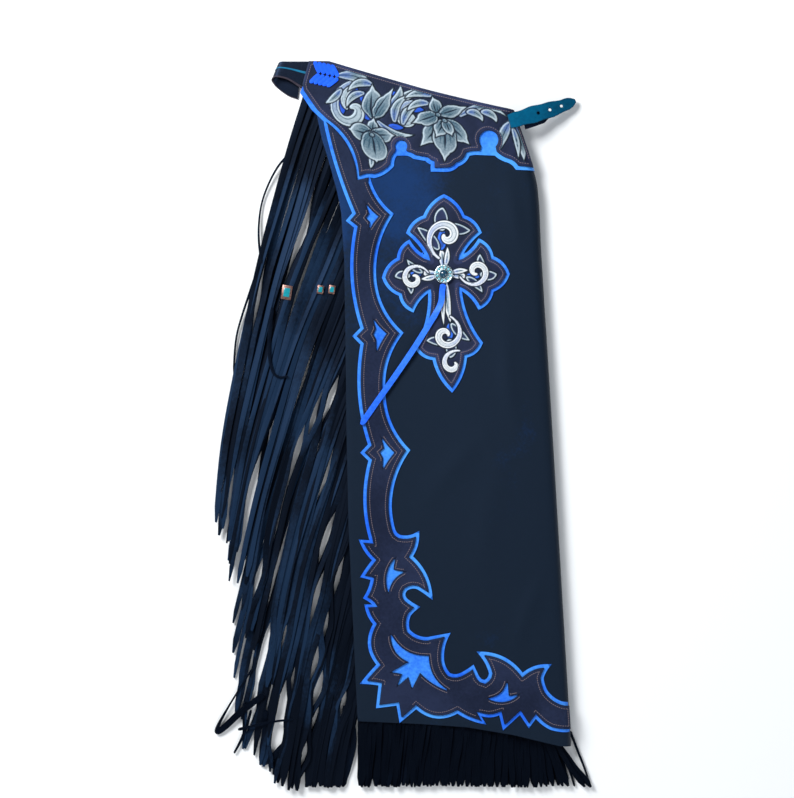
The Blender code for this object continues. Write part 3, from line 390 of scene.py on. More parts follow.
def cut_leather(name, rings, spacing, base, wall, material, nodes=(), relief=None, rim=0.4,
                place_on=lay):
    """A sheet cut to flat rings and laid on the stack. Relief gives heights and paint by grid point."""
    xs, ys, inside, best, near = measure(rings, spacing)
    signed = np.where(inside, best, -best)
    middle = signed[:-1, :-1] + signed[1:, :-1] + signed[:-1, 1:] + signed[1:, 1:]
    form = bmesh.new()
    bmesh.ops.create_grid(form, x_segments=len(xs) - 1, y_segments=len(ys) - 1, size=1.0)
    edge = form.verts.layers.float.new("edge")
    for vert in form.verts:
        row, col = divmod(vert.index, len(xs))
        vert.co = (xs[col], ys[row], 0.0)
        vert[edge] = signed[row, col]
    lowest = [min(vert.index for vert in face.verts) for face in form.faces]
    outside = [face for face, index in zip(form.faces, lowest) if middle[divmod(index, len(xs))] < 0.0]
    place = {vert: divmod(vert.index, len(xs)) for vert in form.verts}
    bmesh.ops.delete(form, geom=outside, context="FACES")
    rim_verts = [vert for vert in form.verts if vert.is_boundary or vert[edge] <= 0.0]
    for vert in rim_verts:
        vert.co.x, vert.co.y = near[place[vert]]
        vert[edge] = 0.0
    spots = np.array([vert.co.xy for vert in rim_verts])
    for ring in rings:
        before, after = ring - np.roll(ring, 1, axis=0), np.roll(ring, -1, axis=0) - ring
        turn = np.arctan2(before[:, 0] * after[:, 1] - before[:, 1] * after[:, 0], (before * after).sum(1))
        for corner in ring[np.abs(turn) > 0.5]:
            gap = np.hypot(*(spots - corner).T)
            if gap.min() < 1.2 * spacing:
                rim_verts[gap.argmin()].co.xy = corner
    bmesh.ops.dissolve_degenerate(form, dist=0.02, edges=form.edges)
    x, y, depth = np.array([(vert.co.x, vert.co.y, vert[edge]) for vert in form.verts]).T
    raised, paint = relief(x, y, depth) if relief else (np.zeros_like(x), {})
    raised = raised - rim * np.exp(-depth / 0.7)
    layers = {key: form.verts.layers.float.new(key) for key in (*paint, "raised")}
    for key, values in (*paint.items(), ("raised", raised)):
        for vert, value in zip(form.verts, values.tolist()):
            vert[layers[key]] = value
    grown = bmesh.ops.extrude_face_region(form, geom=form.faces[:], use_keep_orig=True)
    for item in grown["geom"]:
        if isinstance(item, bmesh.types.BMVert):
            item.co.z = 1.0
    x, y, top, raised = np.array([(*vert.co, vert[layers["raised"]]) for vert in form.verts]).T
    for vert, co in zip(form.verts, place_on(x, y, base + top * (wall + raised)).tolist()):
        vert.co = co
    bmesh.ops.recalc_face_normals(form, faces=form.faces)
    return new_piece(name, form, material, nodes)


print("cutting table ready")

# %% [markdown]
# ## Leg panel
#
# The largest piece is one hide panel that runs round the fold and a little way under it. It is cut
# on a coarse grid, because it only has to carry broad creases, and its wall is two millimetres.

# %% Leg panel
BACK_EDGE = [(-134, 450), (-122, 428), (-109, 398), (-93, 343), (-82, 294), (-78, 231),
             (-76, 100), (-75, 0), (-72, -140), (-66, -270), (-60, -398)]
HEM = [(-59, -413), (29, -417), (94, -421), (158, -431), (205, -442), (222, -446)]
WAIST = [(-118, 440), (-117, 496), (-98, 502), (28, 465)]
HEM_AT_FOLD, WAIST_AT_FOLD = -448.0, 434.0
WRAP_END = WRAP_RADIUS * math.radians(177.0)

corners = [*to_flat(WAIST[:1] + BACK_EDGE[2:] + HEM), (WRAP_END, HEM_AT_FOLD), (WRAP_END, WAIST_AT_FOLD),
           (0.0, WAIST_AT_FOLD + 2.0), *to_flat(WAIST[:0:-1])]
panel_cut = np.array(corners)


def painted_sheen_and_shade(x, y, depth):
    """Painted sheen and shade of the panel: lighter and bluer towards the waist and the back edge, darker
    elsewhere.
    """
    return 0.0 * x, {"tone": 0.62 * smooth((y + 20.0) / 440.0) * smooth((10.0 - x) / 240.0) - 0.36}


leg_panel = cut_leather("leg_panel_skin", [panel_cut], 5.0, PANEL_BASE, PANEL_WALL, panel_leather,
                        ["leg_panel"], relief=painted_sheen_and_shade)

# %% [markdown]
# ## Border
#
# A blue underlay shows as a narrow trim round a dark overlay, and through its cut-outs. Both are
# drawn with the same barbed outline: the underlay a little wider, the overlay a little narrower.

# %% Border
TRIM, TIGHT = 2.3, -0.5
BORDER = [
    (-104.5, 423.5, -3.5), (-64, 295, 0), (-72.5, 285, 0), (-61.5, 276, -9.5), (-52.8, 135, 0),
    (-63.5, 124, 0), (-52.8, 113, -8.9), (-42.2, -27.5, 0), (-52.3, -38.4, 0), (-41.6, -49, -8.3),
    (-39.5, -163, 0), (-54, -162, -2), (-36, -188, -0.5), (-52, -210.5, 0), (-38.5, -214, 1.5),
    (-48.5, -240.5, 1), (-34, -252, 0), (-47, -252, -2), (-35, -277, -10), (-30, -334, -0.5),
    (-51.5, -358.5, 0.5), (-27.5, -361, 0), (-31, -392, 0), (-3, -388.5, 0), (1, -411, 0),
    (22.5, -393, -10.5), (80, -399, -2), (116, -413.5, 0), (108.5, -400.5, -4), (139.5, -400, 0),
    (144.5, -420, 0), (167, -399, 0), (179, -417, 0), (188.5, -404, -1.7), (210, -421, -1),
    (235, -424, 0), (235, -388, 4), (203, -370, 1), (197, -351, 1), (206, -334, -4),
    (170, -347, -8.5), (111, -317, 2), (126, -345, 2), (118, -357, 1.5), (108, -350.5, 0),
    (101.5, -336.5, 0.5), (84, -347.5, 1.8), (68, -347, 2.7), (59, -322, 2), (66.5, -292, 0.3),
    (38, -297.5, 3.3), (11.5, -286, 2), (13, -264, 0.5), (24, -253.5, 0.5), (8, -243, 3),
    (8, -229, 2), (24, -226, 0.5), (43, -239, -6.5), (15, -183, -2.9), (24.5, -151, 2.7),
    (-1, -155, 1.2), (-8.5, -147, 1.2), (-13.8, -112, 6.2), (11.5, -35, 8.6), (-22.5, 45, 8.2),
    (2, 128.5, 10.2), (-35.6, 214, 6.3), (-11.5, 294, 4.8), (-44, 344.5, 0), (-60, 341, -11),
]
INLAYS = [
    [(-49, 311.5, -1.5), (-30, 290.5, -1), (-43.8, 270, 0), (-41.8, 283, 0), (-47.2, 288.5, 0),
     (-43, 294.5, 0)],
    [(-38.4, 150, -1.5), (-18.7, 127.5, -1), (-32.8, 101, 0), (-33.2, 119, 0), (-37, 126.5, 0),
     (-33.4, 134, 0)],
    [(-27.3, -13.5, -1.5), (-7.9, -38.3, -1), (-24.2, -63, 0), (-23.6, -45.3, 0), (-28, -37.8, 0),
     (-22, -32.5, 0)],
    [(-5, -183, -1), (-9, -201, -1.5), (10, -203, -6.5), (-16, -235, 8)],
    [(-13, -290, -10), (40, -321, -9), (71, -371, 3.5), (28, -345, 0), (16.5, -368, 0),
     (11.5, -351, 0), (-5, -365, 0), (3, -347, -1), (-14, -345, 0), (12, -330, 8)],
    [(149, -352, 0), (151, -376, -1), (167, -372.5, 8.5), (121, -379.5, -8)],
]


def offset(points, distance, limit=2.2):
    """Outline moved outwards; sharp tips reach limit times further."""
    points = np.asarray(points, float)
    after = np.roll(points, -1, axis=0) - points
    after /= np.hypot(*after.T)[:, None]
    before = np.roll(after, 1, axis=0)
    area = (points[:, 0] * np.roll(points[:, 1], -1) - points[:, 1] * np.roll(points[:, 0], -1)).sum()
    side = 1.0 if area > 0.0 else -1.0
    normal = np.stack([before[:, 1] + after[:, 1], -before[:, 0] - after[:, 0]], -1) * side
    normal /= np.maximum(np.hypot(*normal.T), 0.001)[:, None]
    facing = normal[:, 0] * after[:, 1] * side - normal[:, 1] * after[:, 0] * side
    reach = np.minimum(1.0 / np.maximum(facing, 0.05), limit)
    return points + normal * (distance * reach)[:, None]


def round_fold(ring):
    """The same flat outline, with the end that lies on the fold carried on round it."""
    return np.stack([np.where(ring[:, 0] > 7.0, 13.0, ring[:, 0]), ring[:, 1]], -1)


border = bowed(BORDER)
top_end = len(bowed([BORDER[-1], (*BORDER[0][:2], 0)]))
trims = np.array([TRIM if 0 < k < len(border) - top_end else TIGHT for k in range(len(border))])
border_cut = round_fold(to_flat(offset(border, -trims, 1.3)))
inlay_cuts = [to_flat(bowed(rows)) for rows in INLAYS]
border_blue = cut_leather("border_underlay_skin", [round_fold(to_flat(offset(border, TRIM)))], 2.5,
                          UNDERLAY_BASE - 0.1, UNDERLAY_WALL, blue_leather, ["border_underlay"], rim=0.25)
border_top = cut_leather("border_overlay_skin", [border_cut, *inlay_cuts], 1.5, OVERLAY_BASE,
                         OVERLAY_WALL, black_leather, ["border_overlay"])

# %% [markdown]
# ## Carving
#
# Western tooling is cut with a swivel knife, bevelled along the cuts, and matted down in the ground
# between the ornaments. A flower, leaf or scroll is described here as strokes: a centre line with a
# width that swells and tapers. From the distance to each stroke's edge come the height of the
# leather and the paint that was brushed on: silver, a blue wash and dark ink in the cuts. Towards a
# stroke's root the silver thins and the blue thickens; there they are painted shade.

# %% Carving strokes


def leaf(x, y, length, width, heading, bend=0.0, steps=12):
    """A pointed stroke, broadest a third of the way along."""
    part = np.linspace(0.0, 1.0, steps)
    a, b = part * length, 4.0 * bend * part * (1.0 - part)
    cosine, sine = math.cos(math.radians(heading)), math.sin(math.radians(heading))
    path = np.stack([x + a * cosine - b * sine, y + a * sine + b * cosine], -1)
    return path, 0.5 * width * np.sin(math.pi * (0.1 + 0.9 * part) ** 0.8) ** 0.8, "leaf"


def petal(x, y, heading, length, width, steps=24):
    """A broad stroke with a waved edge that comes to a small point."""
    part = np.linspace(0.0, 1.0, steps)
    cosine, sine = math.cos(math.radians(heading)), math.sin(math.radians(heading))
    path = np.stack([x + part * length * cosine, y + part * length * sine], -1)
    half = np.interp(part, [0, 0.1, 0.25, 0.4, 0.5, 0.6, 0.8, 1.0], [0.12, 0.42, 0.84, 1, 0.94, 0.68, 0.28, 0])
    return path, 0.5 * width * half * (1.0 + 0.05 * np.sin(25.0 * part + length)), "petal"


def scroll(x, y, start_radius, end_radius, start, sweep, width, steps=44):
    """A stroke that winds in towards its eye."""
    part = np.linspace(0.0, 1.0, steps)
    angle = np.radians(start + sweep * part)
    radius = start_radius * (end_radius / start_radius) ** part
    path = np.stack([x + radius * np.cos(angle), y + radius * np.sin(angle)], -1)
    return path, 0.5 * width * (0.12 + 0.88 * np.sin(math.pi * (0.08 + 0.8 * part))), "scroll"


def mark(stroke, kind):
    """The same stroke, painted in another way."""
    return stroke[0], stroke[1], kind


def flower(x, y, petals):
    strokes = [petal(x, y, *row) for row in petals]
    path = np.array([(x - 0.4, y), (x + 0.4, y)])
    return [*strokes, (path, np.array([2.9, 2.9]), "heart")]


def carve(strokes, relief, x, y, depth, margin):
    """Height and paint of carved leather at points, with plain leather inside the margin of the cut."""
    field = smooth((depth - margin) / 1.2)
    height = -0.3 * field
    paint = {"silver": np.zeros_like(x), "blue_wash_and_shade": np.zeros_like(x), "ink": 0.0 * x, "ground": field.copy()}
    for number, (path, halves, kind) in enumerate(strokes):
        reach = halves.max() + 2.5
        low, high = path.min(0) - reach, path.max(0) + reach
        near = np.nonzero((x > low[0]) & (x < high[0]) & (y > low[1]) & (y < high[1]) & (depth > 1.0))[0]
        px, py = x[near], y[near]
        gap, across, along = np.full(len(near), 99.0), np.zeros(len(near)), np.zeros(len(near))
        for index in range(len(path) - 1):
            run = path[index + 1] - path[index]
            part = np.clip(((px - path[index, 0]) * run[0] + (py - path[index, 1]) * run[1])
                           / (run @ run), 0.0, 1.0)
            off_x, off_y = px - path[index, 0] - part * run[0], py - path[index, 1] - part * run[1]
            half = halves[index] + (halves[index + 1] - halves[index]) * part
            slope = (halves[index + 1] - halves[index]) / math.hypot(*run)
            reached = (np.hypot(off_x, off_y) - half) / math.hypot(1.0, slope)
            closer = reached < gap
            gap[closer] = reached[closer]
            side = np.sign(run[0] * off_y - run[1] * off_x) * np.hypot(off_x, off_y)
            across[closer] = (side / np.maximum(half, 0.4))[closer]
            along[closer] = ((index + part) / (len(path) - 1))[closer]
        if kind == "petal":
            run = path[-1] - path[0]
            along = ((px - path[0, 0]) * run[0] + (py - path[0, 1]) * run[1]) / (run @ run)
            half = np.interp(along, np.linspace(0.0, 1.0, len(path)), halves)
            side = (run[0] * (py - path[0, 1]) - run[1] * (px - path[0, 0])) / math.hypot(*run)
            across = side / np.maximum(half, 2.0)
        inner, here = -gap, gap < 0.0
        body = smooth(inner / 1.5)
        crown = relief * (0.55 + 0.45 * body) + 0.25 * smooth(inner / 4.0)
        rib = np.exp(-(across / 0.09) ** 2) * (kind in ("leaf", "petal")) * smooth((0.85 - along) / 0.3)
        if kind == "scroll":
            rib = 0.8 * np.exp(-((np.abs(across) - 0.45) / 0.10) ** 2) * smooth((inner - 0.7) / 0.6)
        ray = np.maximum(np.cos(across * 15.0 + 0.7 * np.sin(9.0 * along + number)), 0.0) ** 4
        ray = ray * (kind == "petal") * smooth((0.72 - 0.25 * np.abs(across) - along) / 0.3) * smooth(inner / 2.0)
        bevel = np.exp(-np.maximum(gap, 0.0) / 0.9)
        fade = field[near]
        height[near] = np.where(here, fade * (crown - 0.35 * rib - 0.15 * ray),
                                height[near] - fade * 0.45 * bevel)
        line = np.exp(-((gap - 0.3) / 0.95) ** 2)
        rim = np.exp(-((inner - 1.6) / 0.8) ** 2)
        tone = {"petal": 0.34, "leaf": 0.5, "scroll": 0.66, "heart": 0.2, "tip": 0.0, "jewel": 0.1}[kind]
        silver = tone + (0.36 + 0.5 * (kind == "tip")) * rim - 0.3 * rib - 0.4 * ray
        # Silver thins towards the root of a stroke: painted shade there
        silver += along * {"petal": 0.34, "tip": 0.0}.get(kind, 0.14)
        paint["silver"][near] = np.where(here, silver * fade, paint["silver"][near])
        # Blue wash: painted shade at the root of leaves and scrolls; on the jewels, plain blue paint
        blue_wash_and_shade = {"leaf": 0.3, "scroll": 0.25}.get(kind, 0.0) * smooth((0.42 - along) / 0.26) * (1.0 - rim)
        blue_wash_and_shade = np.maximum(blue_wash_and_shade, 0.95 * (kind == "jewel"))
        paint["blue_wash_and_shade"][near] = np.where(here, blue_wash_and_shade * fade, paint["blue_wash_and_shade"][near])
        ink = np.maximum(line, 0.75 * rib + 0.62 * ray)
        paint["ink"][near] = np.where(here, ink, np.maximum(paint["ink"][near], line)) * fade
        paint["ground"][near] = np.where(here, 0.0, paint["ground"][near])
    return height, paint


print("carving tools ready")

# %% [markdown]
# ## Painted tooling
#
# The tooled leather is dyed navy, then the raised ornaments are brushed with silver-grey and blue.
# Brush paint stays on the high places and leaves streaks, so silver is broken up with a fine
# noise. The ground is matted with a stamp of about 1.4 mm, which a Voronoi pattern draws.

# %% Painted tooling


def tooled_finish(name, ground, light_silver, dark_silver, blue_wash_and_shade):
    """Dyed leather with silver, a blue wash and ink brushed on where the carving says so; the blue and the thinner
    silver at the stroke roots are painted shade.
    """
    material, tree, shader = new_material(name, {"Specular IOR Level": 0.32, "Specular Tint": "#A9C0EC"})
    place = node(tree, "TexCoord", {}, "Object")
    marks = {key: node(tree, "Attribute", {"attribute_name": key}, "Fac")
             for key in ("silver", "blue_wash_and_shade", "ink", "ground", "edge")}
    streak = node(tree, "TexNoise", {"Vector": place, "Scale": 420.0, "Detail": 4.0})
    dye = node(tree, "TexNoise", {"Vector": place, "Scale": 30.0, "Detail": 4.0})
    stamp = node(tree, "TexVoronoi", {"Vector": place, "Scale": 1.0 / (1.4 * MM)})
    broken = node(tree, "Math", {"operation": "MULTIPLY_ADD", 0: streak, 1: 0.34, 2: marks["silver"]})
    silver = node(tree, "MapRange", {**SMOOTH, 0: broken, 1: 0.47, 2: 1.17})
    silver = node(tree, "Mix", {**COLOURS, 0: silver, 6: dark_silver, 7: light_silver}, 2)
    silver = node(tree, "Mix", {**COLOURS, 0: marks["blue_wash_and_shade"], 6: silver, 7: blue_wash_and_shade}, 2)
    dye = node(tree, "MapRange", {**SMOOTH, 0: dye, 1: 0.35, 2: 0.7})
    colour = node(tree, "Mix", {**COLOURS, 0: dye, 6: ground, 7: "#2C3252"}, 2)
    # Each paint: the mark that drives it, its limits, its strength and colour
    for key, start, end, strength, paint in (("ground", 0.0, 1.0, 0.55, "#0B0F1C"),
                                             ("silver", 0.05, 0.22, 1.0, silver),
                                             ("ink", 0.15, 0.8, 0.93, "#10141C")):
        share = node(tree, "MapRange", {**SMOOTH, 0: marks[key], 1: start, 2: end, 4: strength})
        colour = node(tree, "Mix", {**COLOURS, 0: share, 6: colour, 7: paint}, 2)
    share = node(tree, "MapRange", {**SMOOTH, 0: marks["edge"], 2: 0.9, 3: 0.8, 4: 0.0})
    colour = node(tree, "Mix", {**COLOURS, 0: share, 6: colour, 7: "#0B0D14"}, 2)
    tree.links.new(colour, shader.inputs["Base Color"])
    matted = node(tree, "Math", {"operation": "MULTIPLY", 0: stamp, 1: marks["ground"]})
    grain = node(tree, "Math", {"operation": "MULTIPLY_ADD", 0: streak, 1: 0.35, 2: matted})
    bump = node(tree, "Bump", {"Strength": 0.6, "Distance": 0.22 * MM, "Height": grain})
    tree.links.new(bump, shader.inputs["Normal"])
    gloss = node(tree, "MapRange", {0: marks["silver"], 3: 0.55, 4: 0.4})
    tree.links.new(gloss, shader.inputs["Roughness"])
    return material


# Brushed silver-grey over navy, thin enough for the leather to show through as teal.
yoke_finish = tooled_finish("hand_painted_tooled_yoke_leather", "#1C2138", "#AEBCC4", "#3B5664", "#1F50C4")
# The same work with a fuller brush, so the scrolls stand out nearly white.
cross_finish = tooled_finish("hand_painted_tooled_cross_leather", "#1C2138", "#E2E4E6", "#66808E", "#2A66DC")
print("painted finishes: 2")

# %% [markdown]
# ## Yoke
#
# The yoke closes the top of the leg. Its lower edge is scalloped, with two round bites that show
# the blue underlay as discs. The carving is a common western bouquet: two flowers, a bud, scrolls
# and leaves, laid out here to fill the field.

# %% Yoke
YOKE_TOP_EDGE = [(-127, 507, 0), (-99, 507, 0), (28, 469, -1), (157, 438, 0)]
YOKE_LOWER_EDGE = [
    (184, 358, 0), (164, 360, -2), (148, 371, 1), (134, 380, 0), (111, 381, -1), (92, 379, 3),
    (78, 365, 2), (64, 358, 0), (48, 358, 0), (48, 367, 1), (38, 373, 0), (21, 376, -1),
    (9, 381, 0), (-7, 381, -2), (-14, 363, 2), (-36, 350, -2), (-57, 347, -11),
    (-101, 426, 0), (-134, 466, 0), (-136, 475, 0),
]
BITES = {3: (123.0, 396.0, 13.4), 12: (1.4, 388.0, 8.6)}
# Flowers: x, y and for each petal its heading in degrees, length and width
YOKE_FLOWERS = [(-39, 404, [(84, 25, 16), (165, 35, 26), (-2, 33, 21), (-80, 40, 35)]),
                (62, 423, [(226, 50, 27), (-44, 50, 27), (-90, 58, 33), (242, 27, 18), (-64, 25, 16)]),
                (53, 431, [(108, 28, 18), (15, 43, 18), (197, 39, 20)])]
# Bud: its petals from one root, the same way
YOKE_BUD = (-37, 426, [(62, 36, 14), (92, 49, 31), (57, 53, 20)])
# Leaves: x, y of the root, length, width, heading in degrees, bend
YOKE_LEAVES = [(-84, 487, 52, 14, -20, 6), (-83, 466, 28, 11, 220, 2), (-14, 445, 31, 13, 62, -5),
               (-40, 474, 34, 12, 196, -7), (-52, 462, 30, 11, 222, -6), (-30, 422, 54, 10, -20, -7),
               (-8, 424, 40, 12, 58, 8), (4, 420, 36, 11, 44, 7), (42, 458, 36, 11, 186, -5),
               (38, 447, 30, 11, 200, -5), (84, 430, 66, 10, -3, 13), (95, 434, 24, 12, -34, 5),
               (115, 434, 24, 12, -38, 5), (154, 421, 58, 13, -72, 3), (151, 418, 40, 13, -110, -2),
               (156, 412, 44, 8, -79, 2), (-40, 374, 17, 8, -94, 1)]
# Blue spots between the leaves, the same way
YOKE_JEWELS = [(-62, 468, 22, 14, 235, 0), (-84, 452, 22, 10, 272, 3), (-52, 462, 18, 12, 285, 0),
               (-52, 434, 18, 12, 330, 0), (-14, 416, 20, 9, 352, 0), (12, 440, 22, 10, 355, 0),
               (-10, 462, 14, 8, 330, 0)]
# Scrolls: x, y of the eye, first and last radius, start and sweep in degrees, width
YOKE_SCROLLS = [(-66, 438, 46, 5, 60, 405, 15), (-62, 448, 27, 14, 62, 150, 9), (20, 426, 40, 26, 58, 120, 13),
                (12, 428, 26, 4, 40, 380, 11)]


def yoke_ring():
    """Outline of the yoke with its two round bites."""
    rows = YOKE_TOP_EDGE + YOKE_LOWER_EDGE
    points = []
    for index, row in enumerate(rows):
        following = rows[(index + 1) % len(rows)]
        bite = BITES.get(index - len(YOKE_TOP_EDGE))
        if bite:
            x, y, radius = bite
            start = math.atan2(row[1] - y, row[0] - x)
            end = math.atan2(following[1] - y, following[0] - x) + math.tau
            points.append(row[:2])
            points += [(x + radius * math.cos(a), y + radius * math.sin(a))
                       for a in np.linspace(start, end, 26)[1:-1]]
        else:
            points += bowed([row, (*following[:2], 0)])[:-1].tolist()
    return np.array(points)


def flat_strokes(strokes):
    return [(to_flat(path), halves, kind) for path, halves, kind in strokes]


strokes = [mark(leaf(*row), "jewel") for row in YOKE_JEWELS] + [scroll(*row) for row in YOKE_SCROLLS]
strokes += [leaf(*row) for row in YOKE_LEAVES] + flower(*YOKE_BUD)[:-1]
for row in YOKE_FLOWERS:
    strokes += flower(*row)
yoke_strokes = flat_strokes(strokes)
yoke_cut = to_flat(yoke_ring())
trimmed = bowed(YOKE_TOP_EDGE + YOKE_LOWER_EDGE, 3.0)
x, y = trimmed.T
shown = (y < 467.0) & (y + 0.27 * x < 472.0) & (x + 0.3375 * y < 306.0)
trimmed = offset(trimmed, np.where(shown, 5.8, -1.5), 1.3)
yoke_blue = cut_leather("yoke_underlay_skin", [to_flat(trimmed)], 2.5, UNDERLAY_BASE, UNDERLAY_WALL,
                        blue_leather, ["yoke_underlay"], rim=0.25)
yoke = cut_leather("yoke_skin", [yoke_cut], 1.1, OVERLAY_BASE, YOKE_WALL, yoke_finish,
                   ["yoke"], relief=lambda x, y, d: carve(yoke_strokes, 0.75, x, y, d, 5.4))

# %% [markdown]
# ## Cross
#
# The cross is made as the border is, a tooled overlay on a blue underlay. Each arm carries a scroll
# between leaf tips, drawn from the arm's own length, so the four arms differ only in size and side.

# %% Cross
CROSS_CENTRE = (61, 210)
CROSS_CORNER = 21
# Arms: heading in degrees, length, barb distance, barb half width, notch distance, notch half
# width, bow of the waist, reach of the scroll
CROSS_ARMS = [(90, 109, 58, 50, 80, 27, -3, 33), (0, 89, 49, 47, 67, 23, -3, 24),
              (-86, 162, 99, 45, 116, 22, -6, 27), (183, 84, 46, 48, 62, 25, -3, 22)]
# Leaves round the eye of a scroll: x and y of root and of tip, width, all by the reach; bend
ARM_LEAVES = [(-0.5, 0.4, 0.38, 1.28, 0.48, -2), (0.4, -0.1, 0.22, -1.02, 0.5, -2), (0.35, 0.2, 1.2, 0.16, 0.62, 2)]


def turned(ring, x, y, heading):
    """Points along a heading and to its left, moved to a place."""
    cosine, sine = math.cos(math.radians(heading)), math.sin(math.radians(heading))
    return [(x + a * cosine - b * sine, y + a * sine + b * cosine) for a, b in ring]


cross_rows, strokes = [], []
for heading, length, barb, barb_half, notch, notch_half, bow, reach in CROSS_ARMS:
    rows = [(CROSS_CORNER, CROSS_CORNER, bow), (barb, barb_half, 4), (notch, notch_half, 4),
            (length, 0.0, 4), (notch, -notch_half, 4), (barb, -barb_half, bow)]
    places = turned([(a, b) for a, b, _ in rows], *CROSS_CENTRE, heading)
    cross_rows += [(x, y, row[2]) for (x, y), row in zip(places, rows)]
    side = -1.0 if heading in (0, 183) else 1.0
    eye = (0.92 * barb if barb < 90 else 85.0, -4.0)
    lines = [(kind, start, end, width, bend) for kind, start, end, width, bend in (
        ("leaf", (13.0, 1.5), (eye[0] - 0.55 * reach, 5.0), 11.0, -1.5),
        ("leaf", (13.0, -2.5), (eye[0] - 0.45 * reach, -5.0), 8.0, -1.0),
        ("jewel", (eye[0] - 0.5 * reach, 3.0), (eye[0] + 0.35 * reach, 2.0), 0.4 * reach, 0.0))]
    for root_x, root_y, tip_x, tip_y, width, bend in ARM_LEAVES:
        start = (eye[0] + root_x * reach, eye[1] + root_y * reach)
        end = (eye[0] + tip_x * reach, eye[1] + tip_y * reach)
        lines.append(("tip", start, end, width * reach, bend))
    for kind, start, end, width, bend in lines:
        x, y = turned([(start[0], start[1] * side)], *CROSS_CENTRE, heading)[0]
        way = math.degrees(math.atan2((end[1] - start[1]) * side, end[0] - start[0]))
        strokes.append(mark(leaf(x, y, math.dist(start, end), width, heading + way, bend * side), kind))
    x, y = turned([(eye[0], eye[1] * side)], *CROSS_CENTRE, heading)[0]
    strokes.append(scroll(x, y, reach, 4.2, heading + 160.0 * side, -430.0 * side, 0.38 * reach))
    if barb > 90:
        x, y = turned([(notch + 10.0, 4.0)], *CROSS_CENTRE, heading)[0]
        strokes.append(scroll(x, y, 21.0, 3.6, heading + 150.0, 330.0, 8.5))
cross = bowed(cross_rows)
cross_strokes = flat_strokes(strokes)
cross_cut = to_flat(offset(cross, -TRIM, 1.3))
cross_blue = cut_leather("cross_underlay_skin", [to_flat(offset(cross, TRIM))], 2.0, UNDERLAY_BASE,
                         UNDERLAY_WALL, blue_leather, ["cross_underlay"], rim=0.25)
cross_top = cut_leather("cross_overlay_skin", [cross_cut], 0.9, OVERLAY_BASE, OVERLAY_WALL, cross_finish,
                        ["cross_overlay"],
                        relief=lambda x, y, d: carve(cross_strokes, 0.7, x, y, d, 5.0))


# %% [markdown]
# ## Stitching
#
# Each overlay is sewn down with a waxed thread, about a stitch every three millimetres, a few
# millimetres inside its edge. A painted line would lie dead on the leather, so every stitch is a
# small thread-coloured bead, stretched along the row. A stitch that would come too near another
# part of the edge, inside a sharp barb, is left out.

# %% Stitching
# Waxed thread: twisted plies that catch a dull light.
thread, tree, shader = new_material("waxed_polyester_thread", {"Roughness": 0.55,
                                                               "Specular IOR Level": 0.3})
ply = node(tree, "TexNoise", {"Vector": node(tree, "TexCoord", {}, "Object"), "Scale": 900.0})
twine = node(tree, "Mix", {**COLOURS, 0: ply, 6: "#4E434B", 7: "#8C7E84"}, 2)
tree.links.new(twine, shader.inputs["Base Color"])


def resample(points, pitch, closed=True):
    """Points along a line at an even pitch, with the direction at each."""
    points = np.asarray(points, float)
    if closed:
        points = np.concatenate([points, points[:1]])
    lengths = np.concatenate([[0.0], np.cumsum(np.hypot(*np.diff(points, axis=0).T[:2]))])
    count = max(int(lengths[-1] / pitch), 1)
    at = (np.arange(count) + 0.5) * lengths[-1] / count
    near = [np.stack([np.interp(at + shift, lengths, column) for column in points.T], -1)
            for shift in (-0.3, 0.0, 0.3)]
    return near[1], near[2] - near[0]


def ring_distance(spots, ring):
    """Distance from each spot to the nearest point of a closed outline."""
    best = np.full(len(spots), 1e6)
    for start, end in zip(ring, np.roll(ring, -1, axis=0)):
        run = end - start
        part = np.clip((spots - start) @ run / (run @ run), 0.0, 1.0)
        best = np.minimum(best, np.hypot(*(spots - start - part[:, None] * run).T))
    return best


def copies(pattern, count):
    """One bmesh that holds a pattern many times; with the place in the pattern and the copy's number."""
    mesh = bpy.data.meshes.new("pattern")
    pattern.to_mesh(mesh)
    base = np.array([vert.co for vert in pattern.verts])
    pattern.free()
    form = bmesh.new()
    for _ in range(count):
        form.from_mesh(mesh)
    bpy.data.meshes.remove(mesh)
    return form, np.tile(base, (count, 1)), np.repeat(np.arange(count), len(base))


def inside_ring(spots, ring):
    """Which of the spots lie inside a closed outline."""
    count = np.zeros(len(spots), int)
    for start, end in zip(ring, np.roll(ring, -1, axis=0)):
        if start[1] != end[1]:
            crossing = start[0] + (spots[:, 1] - start[1]) * (end[0] - start[0]) / (end[1] - start[1])
            count += ((spots[:, 1] > start[1]) != (spots[:, 1] > end[1])) & (spots[:, 0] < crossing)
    return count % 2 > 0


